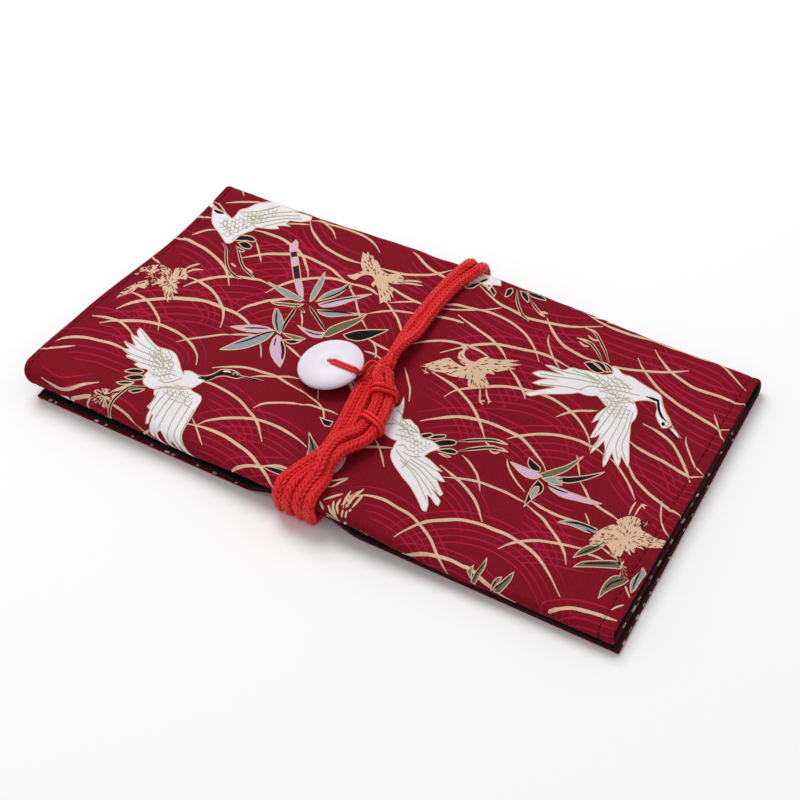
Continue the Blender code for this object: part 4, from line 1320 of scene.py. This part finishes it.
# Routes over the top: x and y in millimetres, and how far the strand's middle is lifted.
LEFT_STRAND = [
    (-4.6, -54, 0), (-3.0, -49, 0), (-1.4, -44, 0), (-1.4, -37, 0), (-2.4, -30, 0),
    (-4.0, -21.3, 0), (-5.0, -16, 0), (-5.6, -11, 0), (-5.6, -6.8, 0), (-5.0, -3.6, 0),
    (-4.3, -1.2, 0), (-3.5, 1.5, 0), (-3.4, 5, 0), (-4.3, 10.3, 0), (-4.9, 17, 0),
    (-5.2, 26, 0), (-5.2, 36, 0), (-4.6, 46, 0), (-3.6, 53, 0),
]
RIGHT_STRAND = [
    (-1.1, -54, 0), (0.6, -49, 0), (2.0, -44, 0), (2.0, -37, 0), (1.0, -30, 0),
    (-0.6, -21.3, 0), (-1.6, -16, 0), (-2.2, -11, 0), (-2.2, -6.8, 0), (-1.6, -3.6, 0.5),
    (-1.3, -1.2, 2.3), (-2.0, 1.5, 3.3), (-2.0, 5, 3.3), (-1.7, 10.3, 2.5), (-1.4, 17, 0.9),
    (-1.8, 26, 0.5), (-1.8, 36, 0.4), (-1.0, 46, 0), (1.0, 53, 0),
]
LOOP_LEFT = [
    (2.2, -54, 1.3), (2.2, -51.5, 2.6), (1.8, -49, 3.3), (1.2, -43, 3.4), (2.3, -37.5, 3.4),
    (4.2, -33.5, 2.5), (4.9, -30, 1.8), (4.9, -25.5, 1.7), (4.0, -19.8, 1.9),
    (3.1, -16.8, 2.5), (1.9, -14.2, 3.2), (0.4, -11.6, 3.5), (-1.3, -9.3, 3.6),
]
LOOP_TIP = (-1.6, -6.2, 3.6)
LOOP_RIGHT = [
    (5.4, -54, 0.1), (4.8, -51.5, 0.2), (4.2, -49, 0.9), (4.9, -43, 2.5), (6.3, -39.5, 2.3),
    (8.0, -36, 1.8), (9.0, -32.5, 1.7), (8.9, -27.5, 1.7), (8.6, -23.3, 1.7),
    (7.6, -19.3, 1.6), (6.5, -16.2, 1.5), (5.4, -13.4, 1.4), (4.0, -11.0, 1.6),
    (2.4, -8.9, 2.2), (1.0, -6.7, 3.0),
]
# Where each strand crosses the near edge, the far edge and the near edge again: x in millimetres.
LEFT_EDGE_PLACES = (-5.8, -2.8, 1.7)
RIGHT_EDGE_PLACES = (-2.1, 1.9, 5.5)
SEWN_END_INSET = 0.009
WHIPPING_DIAMETER = 0.0012
WHIPPING_CLEARANCE = 0.0003
WHIPPING_PITCH = 0.0016
NEAR_WHIPPING_Y = (-0.0266, -0.0275)
FAR_WHIPPING_Y = (-0.0152, -0.0136)


def on_top(point):
    """A route point over the top panel, in metres."""
    x, y, lift = (value * MM for value in point)
    return np.array((x, y, float(top_height(x, y)) + OUTER_REACH + TIE_REST + lift))


def round_fold(x, fold, outwards, degrees):
    """A place of the route round the outside of a fold."""
    middle, height, radius = fold
    reach = radius + OUTER_REACH + TIE_REST + TIE_CLEARANCE
    turn = math.radians(degrees)
    y = middle + outwards * reach * math.cos(turn)
    return np.array((x, y, height + reach * math.sin(turn)))


def near_turn(x):
    fold = near_fold(x)
    return [
        np.array((x, -HALF_WIDTH + 0.0055, TIE_REST)),
        np.array((x, -HALF_WIDTH + 0.0012, TIE_REST + 0.0001)),
        np.array((x, -HALF_WIDTH - TIE_REST * 0.75, HUMP_HEIGHT - TIE_REST * 0.75)),
        *(round_fold(x, fold, -1, degrees) for degrees in (-35, 10, 50, 88)),
    ]


def far_turn(x):
    fold = far_fold(x)
    return [
        *(round_fold(x, fold, 1, degrees) for degrees in (85, 50, 15, -20)),
        np.array((x, fold[0] + TIE_DIAMETER, TIE_REST + 0.0006)),
        np.array((x, fold[0] - TIE_DIAMETER, TIE_REST)),
    ]


def under_run(far_x, near_x):
    far, near = np.array((far_x, HALF_WIDTH, TIE_REST)), np.array((near_x, -HALF_WIDTH, TIE_REST))
    return [between(far, near, share) for share in (0.25, 0.5, 0.75)]


def strand(over, edge_places, loop_side):
    """From a sewn end over the case, back beneath it and on to the loop's tip."""
    sewn_x, far_x, near_x = (place * MM for place in edge_places)
    start = near_turn(sewn_x)
    start[0][1] = -HALF_WIDTH + SEWN_END_INSET
    return (
        start
        + [on_top(point) for point in over]
        + far_turn(far_x)
        + under_run(far_x, near_x)
        + near_turn(near_x)
        + [on_top(point) for point in loop_side]
    )


def tie_route():
    outward = strand(LEFT_STRAND, LEFT_EDGE_PLACES, LOOP_LEFT)
    back = strand(RIGHT_STRAND, RIGHT_EDGE_PLACES, LOOP_RIGHT)
    return np.array(outward + [on_top(LOOP_TIP)] + back[::-1])


def route_length(points):
    return float(np.linalg.norm(np.diff(points, axis=0), axis=1).sum())


def curve_through(points, step):
    """Points on a smooth curve through these, about this far apart, and the way along to each."""
    points = np.asarray(points)
    ends = np.concatenate([[2 * points[0] - points[1]], points, [2 * points[-1] - points[-2]]])
    fine = []
    for i in range(len(points) - 1):
        p0, p1, p2, p3 = ends[i:i + 4]
        t0, t1, t2, t3 = np.concatenate([[0], np.cumsum([
            math.sqrt(np.linalg.norm(b - a)) for a, b in ((p0, p1), (p1, p2), (p2, p3))
        ])])
        t = np.linspace(t1, t2, 12, endpoint=False)[:, None]
        a1 = (t1 - t) / (t1 - t0) * p0 + (t - t0) / (t1 - t0) * p1
        a2 = (t2 - t) / (t2 - t1) * p1 + (t - t1) / (t2 - t1) * p2
        a3 = (t3 - t) / (t3 - t2) * p2 + (t - t2) / (t3 - t2) * p3
        b1 = (t2 - t) / (t2 - t0) * a1 + (t - t0) / (t2 - t0) * a2
        b2 = (t3 - t) / (t3 - t1) * a2 + (t - t1) / (t3 - t1) * a3
        fine.append((t2 - t) / (t2 - t1) * b1 + (t - t1) / (t2 - t1) * b2)
    fine = np.concatenate([*fine, points[-1:]])
    way = np.concatenate([[0], np.cumsum(np.linalg.norm(np.diff(fine, axis=0), axis=1))])
    places = np.linspace(0, way[-1], max(2, round(way[-1] / step)))
    return np.stack([np.interp(places, way, fine[:, k]) for k in range(3)], axis=1), places


def frames_along(points):
    """Directions to a curve's side and up, turning as little as they can."""
    along = np.gradient(points, axis=0)
    along /= np.linalg.norm(along, axis=1)[:, None]
    side = np.cross((0, 0, 1), along[0])
    if np.linalg.norm(side) < 0.1:
        side = np.cross((1, 0, 0), along[0])
    sides = [side / np.linalg.norm(side)]
    for tangent in along[1:]:
        side = sides[-1] - tangent * np.dot(sides[-1], tangent)
        sides.append(side / np.linalg.norm(side))
    sides = np.array(sides)
    return sides, np.cross(along, sides)


def add_tube(name, path, way, radius, stretch=(1.0, 1.0)):
    """A closed tube. radius has a value for each ring and each place round it."""
    around = radius.shape[1]
    sides, ups = frames_along(path)
    angle = math.tau * np.arange(around) / around
    outwards = (np.cos(angle)[None, :, None] * sides[:, None, :] * stretch[0]
                + np.sin(angle)[None, :, None] * ups[:, None, :] * stretch[1])
    points = (path[:, None, :] + radius[:, :, None] * outwards).reshape(-1, 3)
    faces = grid_faces(len(path), around, flip=True, wrap=True)
    last = (len(path) - 1) * around
    faces.append(tuple(range(around - 1, -1, -1)))
    faces.append(tuple(range(last, last + around)))
    low = np.tile(np.arange(around), len(path) - 1) / around
    start = np.repeat(way[:-1], around) / CORD_UV_LENGTH
    end = np.repeat(way[1:], around) / CORD_UV_LENGTH
    high = low + 1 / around
    uvs = np.stack([high, start, high, end, low, end, low, start], axis=1).reshape(-1, 2)
    uvs = np.concatenate([uvs, np.zeros((2 * around, 2))])
    return add_mesh(name, points, faces, uvs=uvs)


TIE_STEP = 0.00025
TIE_AROUND = 34
TIE_STRETCH = (1.17, 1.0)
BRAID_DEPTH = 0.00055


def braid_height(turn, way):
    """How far a braid stands out, 0 to 1, at this share of a turn and this way along."""
    column = turn * BRAID_COLUMNS
    u = column - np.floor(column) - 0.5
    lean = 1 - 2 * (np.floor(column) % 2)
    phase = way / BRAID_PITCH + lean * u * BRAID_SLANT
    v = phase - np.floor(phase) - 0.5
    across_fall, along_fall = BRAID_FALL
    return np.sqrt(np.clip(1 - across_fall * u**2, 0, 1) * np.clip(1 - along_fall * v**2, 0, 1))


def add_tie():
    path, way = curve_through(tie_route(), TIE_STEP)
    turn = np.arange(TIE_AROUND) / TIE_AROUND
    stand = braid_height(turn[None, :], way[:, None])
    radius = TIE_DIAMETER / 2 - BRAID_DEPTH * 0.7 + BRAID_DEPTH * stand
    return add_tube("braided_tie", path, way, radius, TIE_STRETCH)


tie = add_tie()
# The dark red is painted shade between the stitches and the bright red is painted light on their
# crowns.
red_braid = braid("red_braid", (0.42, 0.001, 0.002), (1.0, 0.022, 0.027))
dress(tie, red_braid, "braided_cord", "tie_cord")

THIN_THREAD = thin_thread("red_thread", (0.62, 0.006, 0.006), (0.90, 0.018, 0.015))
WHIPPING_THREAD = 0.00135


def place_on(points, y):
    """Where a route over the top crosses this y."""
    for start, end in zip(points, points[1:]):
        if min(start[1], end[1]) <= y <= max(start[1], end[1]):
            return start + (end - start) * (y - start[1]) / (end[1] - start[1])


def whipping_route(left_y, right_y):
    """Two turns of thin cord round both sides of the end loop."""
    left_side = [on_top(point) for point in LOOP_LEFT]
    right_side = [on_top(point) for point in LOOP_RIGHT]
    radius = TIE_DIAMETER / 2 + WHIPPING_CLEARANCE + WHIPPING_DIAMETER / 2
    turns = [(right_side, right_y, -90 + 36 * i) for i in range(6)]
    turns += [(left_side, left_y, 90 + 36 * i) for i in range(6)]
    route = []
    count = 2 * len(turns)
    for i in range(count + 1):
        side, y, degrees = turns[i % len(turns)]
        shift = (i / count - 0.5) * 2 * WHIPPING_PITCH
        sideways = place_on(right_side, right_y + shift) - place_on(left_side, left_y + shift)
        sideways /= np.linalg.norm(sideways)
        up = np.cross(sideways, np.cross((0, 0, 1), sideways))
        up /= np.linalg.norm(up)
        turn = math.radians(degrees)
        outwards = sideways * math.cos(turn) + up * math.sin(turn)
        route.append(place_on(side, y + shift) + radius * outwards)
    return np.array(route)


for node, places in (("near_whipping", NEAR_WHIPPING_Y), ("far_whipping", FAR_WHIPPING_Y)):
    path, way = curve_through(whipping_route(*places), 0.0004)
    ring = np.full((len(path), 16), WHIPPING_THREAD / 2)
    whipping = add_tube(node.replace("whipping", "thread_turns"), path, way, ring)
    dress(whipping, THIN_THREAD, "thin_cord", node)

TIE_PATH = tie_route()
TIE_PATH_STEP = 0.002
[tuple(point + ORIGIN) for point in curve_through(TIE_PATH, TIE_PATH_STEP)[0]]

# -------------------------------------------------------------- the disc and its thread

DISC_RADIUS = 0.0112
DISC_THICKNESS = 0.0054
DISC_HOLE_RADIUS = 0.0008
DISC_DIMPLE_RADIUS = 0.0034
DISC_DIMPLE_DEPTH = 0.0006
DISC_PLACE = (-0.0183, -0.0110)
DISC_TILT = math.radians(8.5)
DISC_TILT_TOWARDS = math.radians(205)
DISC_GAP = 0.0012
KNOT_PLACE = (-0.00695, -0.01120)
KNOT_HEIGHT = 0.0161
KNOT_SIZE = 0.00040
KNOT_THREAD_RADIUS = 0.00054
KNOT_THREAD_LENGTH = 0.012
DISC_LIP = 0.0004
THREAD_HALF_HEIGHT = 0.00053
THREAD_RIDGE = 0.00052
# Past the knot the thread gets thinner by this share, over this length.
THREAD_THINNING, THREAD_THINNING_LENGTH = 0.3, 0.002
# Under the disc, in metres: how far from its middle towards the knot, and the gap to its face.
THREAD_UNDER_DISC = [(0.0072, 0.0002), (0.0035, 0.0004), (0.0006, -0.0006)]
# Over the disc, in mm along its two directions, and the gap under the thread in metres.
THREAD_OVER_DISC = [
    (1.97, -0.74, 0.0), (4.33, -1.11, 5e-05), (6.79, -1.13, 5e-05), (8.93, -1.03, 5e-05),
    (10.44, -0.70, 0.0001),
]
# In mm, from the disc's rim down to the knot, and from the knot to the tie.
THREAD_DOWN = [(-7.55, -11.65, 16.6)]
THREAD_TO_TIE = [
    (-7.2, -9.3, 15.1), (-7.23, -8.2, 15.5), (-7.13, -6.72, 15.8), (-6.54, -5.12, 16.3),
    (-4.99, -4.83, 16.8), (-3.27, -5.2, 16.6), (-2.03, -5.4, 15.9),
]


def disc_frame():
    """The disc's centre, two directions in its plane, and the way its top face looks."""
    x, y = DISC_PLACE
    towards = np.array((math.cos(DISC_TILT_TOWARDS), math.sin(DISC_TILT_TOWARDS), 0))
    normal = np.array((0, 0, 1)) * math.cos(DISC_TILT) + towards * math.sin(DISC_TILT)
    first = np.cross((0, 1, 0), normal)
    first /= np.linalg.norm(first)
    height = float(top_height(x, y)) + OUTER_REACH + DISC_THICKNESS / 2 + DISC_GAP
    return np.array((x, y, height)), first, np.cross(normal, first), normal


def disc_height(radius):
    """Half the disc's thickness at this distance from its middle: a lens with a small dimple."""
    share = np.clip(np.asarray(radius) / DISC_RADIUS, 0, 1)
    lens = DISC_THICKNESS / 2 * (1 - share**2.3) ** (1 / 2.1)
    return lens - DISC_DIMPLE_DEPTH * smooth(1 - (radius - DISC_HOLE_RADIUS) / DISC_DIMPLE_RADIUS)


def add_disc():
    lip = DISC_HOLE_RADIUS + DISC_LIP
    bend = np.radians(np.linspace(0, 75, 6))
    top = disc_height(lip) - DISC_LIP
    face = [(lip - DISC_LIP * math.cos(turn), top + DISC_LIP * math.sin(turn)) for turn in bend]
    radii = np.concatenate([
        np.linspace(lip + 0.0001, DISC_RADIUS * 0.8, 26),
        DISC_RADIUS * np.sin(np.radians(np.linspace(54, 89, 18))),
    ])
    face += list(zip(radii, disc_height(radii)))
    below = [(radius, -height) for radius, height in face[::-1]]
    profile = np.array(face + [(DISC_RADIUS, 0)] + below)
    turns = np.linspace(0, math.tau, 97)[:-1]
    centre, first, second, normal = disc_frame()
    points = (centre + profile[None, :, :1] * (np.cos(turns)[:, None, None] * first
                                               + np.sin(turns)[:, None, None] * second)
              + profile[None, :, 1:] * normal)
    rows, count = len(turns), len(profile)
    faces = []
    for i in range(rows):
        for j in range(count):
            a, b = i * count, (i + 1) % rows * count
            k = (j + 1) % count
            faces.append((a + j, b + j, b + k, a + k))
    return add_mesh("toggle_disc", points.reshape(-1, 3), faces)


def thread_route():
    """From the knot under the disc, through its hole, over its top and back, and on to the tie."""
    centre, first, second, normal = disc_frame()
    x, y = KNOT_PLACE
    knot = np.array((x, y, KNOT_HEIGHT))
    towards = knot - centre
    towards -= normal * towards.dot(normal)
    towards /= np.linalg.norm(towards)

    def over(across_mm, up_mm, gap):
        radius = math.hypot(across_mm, up_mm) * MM
        return (centre + (first * across_mm + second * up_mm) * MM
                + normal * (float(disc_height(radius)) + THREAD_HALF_HEIGHT + gap))

    under = DISC_THICKNESS / 2 + THREAD_HALF_HEIGHT
    return np.array([
        knot,
        *(centre + towards * reach - normal * (under + gap) for reach, gap in THREAD_UNDER_DISC),
        centre,
        *(over(*place) for place in THREAD_OVER_DISC),
        *(np.array(point) * MM for point in THREAD_DOWN),
        knot,
        *(np.array(point) * MM for point in THREAD_TO_TIE),
    ]), knot


def add_toggle():
    disc = add_disc()
    dress(disc, polished_white("white_polish"), "white_disc", "disc_toggle")
    route, knot = thread_route()
    path, way = curve_through(route, 0.0002)
    angle = math.tau * np.arange(20) / 20
    # Two threads side by side.
    rise = THREAD_HALF_HEIGHT**2 - (THREAD_RIDGE * np.sin(angle)) ** 2
    double = THREAD_RIDGE * np.abs(np.cos(angle)) + np.sqrt(rise + 1e-12)
    to_knot = route_length(route[:len(route) - len(THREAD_TO_TIE)])
    size = 1 - THREAD_THINNING * smooth((way - to_knot) / THREAD_THINNING_LENGTH)
    thread = add_tube("toggle_thread", path, way, size[:, None] * double)
    dress(thread, THIN_THREAD, "thin_cord", "toggle_cord")
    turn = np.linspace(0, math.tau, 90)
    loops = np.stack([np.sin(turn) + 2 * np.sin(2 * turn), np.cos(turn) - 2 * np.cos(2 * turn),
                      -1.2 * np.sin(3 * turn)], axis=1)
    knot_way = np.linspace(0, KNOT_THREAD_LENGTH, len(turn))
    ring = np.full((len(turn), 12), KNOT_THREAD_RADIUS)
    tied = add_tube("toggle_knot", knot + loops * KNOT_SIZE, knot_way, ring)
    # The knot is the same red thread, painted darker as shade.
    shaded_red_thread = thin_thread("red_thread_painted_shade", (0.11, 0.001, 0.003), (0.28, 0.004, 0.008))
    dress(tied, shaded_red_thread, "thin_cord")


add_toggle()

# -------------------------------------------------------------- the stitching along the short ends

STITCH_PITCH = 0.0028
STITCH_LENGTH = 0.0025
STITCH_HALF_WIDTH = 0.00021
STITCH_SUNK = 0.00010
STITCH_HEIGHT = 0.00026
STITCH_WANDER = 0.00008
POINTS_ALONG_STITCH, POINTS_ACROSS_STITCH = 6, 5
# Where the row of stitches starts and ends, along the unrolled cloth from the near fold.
STITCH_ROW = (-0.116, 0.232)


def add_stitches(name, side):
    """Short black stitches that lie in the sunk row along one short end, on every panel."""
    starts = np.arange(*STITCH_ROW, STITCH_PITCH)
    along = np.linspace(0, 1, POINTS_ALONG_STITCH)[:, None]
    across_row = np.linspace(-1, 1, POINTS_ACROSS_STITCH)
    arch = np.sqrt(1 - across_row**2 * 0.9) * np.sin(math.pi * along) ** 0.5
    chance = np.random.default_rng(7 + side)
    points = []
    faces = []
    for start in starts:
        way = start + STITCH_LENGTH * along + 0 * across_row
        share = np.clip(way / (CASE_WIDTH - 0.0125), 0, 1)
        inset = between(*SEAM_INSET_RIGHT, share) if side > 0 else SEAM_INSET_LEFT
        wander = STITCH_WANDER * (chance.random() - 0.5)
        flat_x = side * (HALF_LENGTH - inset) + across_row * STITCH_HALF_WIDTH + wander
        lift = STITCH_HEIGHT * arch - STITCH_SUNK
        first = len(points) * way.size
        points.append(unrolled_point(flat_x, way, lift).reshape(-1, 3))
        faces += grid_faces(POINTS_ALONG_STITCH, POINTS_ACROSS_STITCH, start=first)
    stitches = add_mesh(name, np.concatenate(points), faces)
    finish = Finish(name + "_black", 0.8, 0.08)
    finish.colour_between(finish.noise(2500.0), (0.004, 0.002, 0.003), (0.014, 0.008, 0.010))
    dress(stitches, finish.material, "black_cotton")


add_stitches("stitches_left", -1)
add_stitches("stitches_right", 1)

# -------------------------------------------------------------- the print on the rims

# Places in mm along the right end or the near edge, with each mark's length and colour.
INNER_END_MARKS = [
    (4.4, 2.2, "w"), (-0.1, 3.2, "g"), (-7.5, 3.5, "g"), (-16.5, 3.0, "g"), (-26.2, 4.2, "g"),
    (-32.2, 2.6, "w"), (-41.2, 2.4, "g"), (-45.2, 4.5, "g"), (-52.0, 3.6, "g"), (14.2, 2.4, "g"),
    (24.7, 1.8, "g"), (34.4, 1.6, "g"),
]
BOTTOM_END_MARKS = [
    (-1.5, 2.0, "g"), (-8.5, 2.2, "w"), (-20.8, 1.6, "g"), (-30.0, 2.0, "g"), (-35.9, 1.6, "w"),
    (-40.5, 2.2, "g"), (-45.7, 3.4, "w"), (-50.5, 3.6, "g"), (-55.8, 2.8, "g"), (11.4, 1.6, "g"),
    (34.2, 1.4, "w"),
]
NEAR_EDGE_MARKS = [
    (-100.0, 2.2, "g"), (-97.7, 1.2, "w"), (-80.4, 2.6, "w"), (-76.4, 1.6, "g"), (-65.5, 1.4, "g"),
    (-57.7, 1.6, "g"), (-51.6, 3.0, "w"), (-49.1, 2.0, "g"), (-39.6, 1.6, "g"), (-32.9, 2.2, "g"),
    (-24.6, 1.4, "g"),
]
MARK_POINTS = 5
MARK_DEPTH = 0.00004


def add_rim_marks():
    """Patches of the print where the outer cloth shows beyond the lining."""
    patches = {"g": [], "w": []}
    distance = HALF_CLEARANCE - MARK_DEPTH

    def ends(place, length):
        return np.array((place - length / 4, place + length / 3)) * MM

    def spread(start, end):
        return np.linspace(start, end, MARK_POINTS)

    for places, first, last, slope in (
        (INNER_END_MARKS, 0.0, NEAR_FOLD_ROW, 0.015),
        (BOTTOM_END_MARKS, BOTTOM_ROW, LAST_ROW, 0.03),
    ):
        rows = np.linspace(first, last, 400)
        level = middle_line(np.full(400, HALF_LENGTH - 0.0003), rows)[0]
        order = np.argsort(level)
        for y, length, letter in places:
            span = np.interp(ends(y, length), level[order], rows[order])
            row = spread(*span)[None, :] + slope * math.sin(y * 3.7) * spread(-1, 1)[:, None]
            x = HALF_LENGTH + spread(-0.0010, -0.0001 + 0.0002 * math.sin(y * 9))[:, None]
            patches[letter].append(cloth_surface(x, row, distance))
    for x, length, letter in NEAR_EDGE_MARKS:
        row = LAST_ROW - spread(0.07, 0.006 + 0.006 * math.sin(x * 9))[None, :]
        patches[letter].append(cloth_surface(spread(*ends(x, length))[:, None], row, distance))
    for letter, shapes in patches.items():
        faces = []
        for i in range(len(shapes)):
            faces += grid_faces(MARK_POINTS, MARK_POINTS, start=MARK_POINTS**2 * i)
        points = np.concatenate([shape.reshape(-1, 3) for shape in shapes])
        uvs = points[:, :2] / STRIP_LENGTH + 0.5
        marks = add_mesh("rim_marks_" + colour_name(letter), points, faces, uvs=uvs)
        dress(marks, PRINT_MATERIALS[letter], "printed_cotton")


add_rim_marks()

# -------------------------------------------------------------- floor and light

FLOOR_HALF_WIDTH = 4
# The world's strength for light on the object; the camera itself sees it as white.
SOFT_LIGHT = 0.55


def add_floor():
    mesh = bpy.data.meshes.new("floor")
    signs = ((-1, -1), (1, -1), (1, 1), (-1, 1))
    corners = [(x * FLOOR_HALF_WIDTH, y * FLOOR_HALF_WIDTH, 0) for x, y in signs]
    mesh.from_pydata(corners, [], [(0, 1, 2, 3)])
    floor = bpy.data.objects.new("floor", mesh)
    bpy.context.scene.collection.objects.link(floor)
    floor.data.materials.append(plain_material("white_floor", (1.0, 1.0, 1.0), 0.9))


def add_lamp(name, place, target, size, power):
    data = bpy.data.lights.new(name, "AREA")
    data.shape = "DISK"
    data.size = size
    data.energy = power
    lamp = bpy.data.objects.new(name, data)
    lamp.location = place
    lamp.rotation_euler = (Vector(target) - Vector(place)).to_track_quat("-Z", "Y").to_euler()
    bpy.context.scene.collection.objects.link(lamp)


def add_world():
    world = bpy.data.worlds.new("world")
    world.use_nodes = True
    tree = world.node_tree
    background = tree.nodes["Background"]
    background.inputs["Color"].default_value = (1, 1, 1, 1)
    ray = tree.nodes.new("ShaderNodeLightPath")
    strength = tree.nodes.new("ShaderNodeMath")
    strength.operation = "MULTIPLY_ADD"
    strength.inputs[1].default_value = 1 - SOFT_LIGHT
    strength.inputs[2].default_value = SOFT_LIGHT
    tree.links.new(ray.outputs["Is Camera Ray"], strength.inputs[0])
    tree.links.new(strength.outputs[0], background.inputs["Strength"])
    bpy.context.scene.world = world


add_floor()
add_lamp("key", (-0.7, 0.5, 1.3), target=(0, 0, 0), size=0.9, power=14)
add_world()
bpy.context.scene.view_settings.view_transform = "Standard"
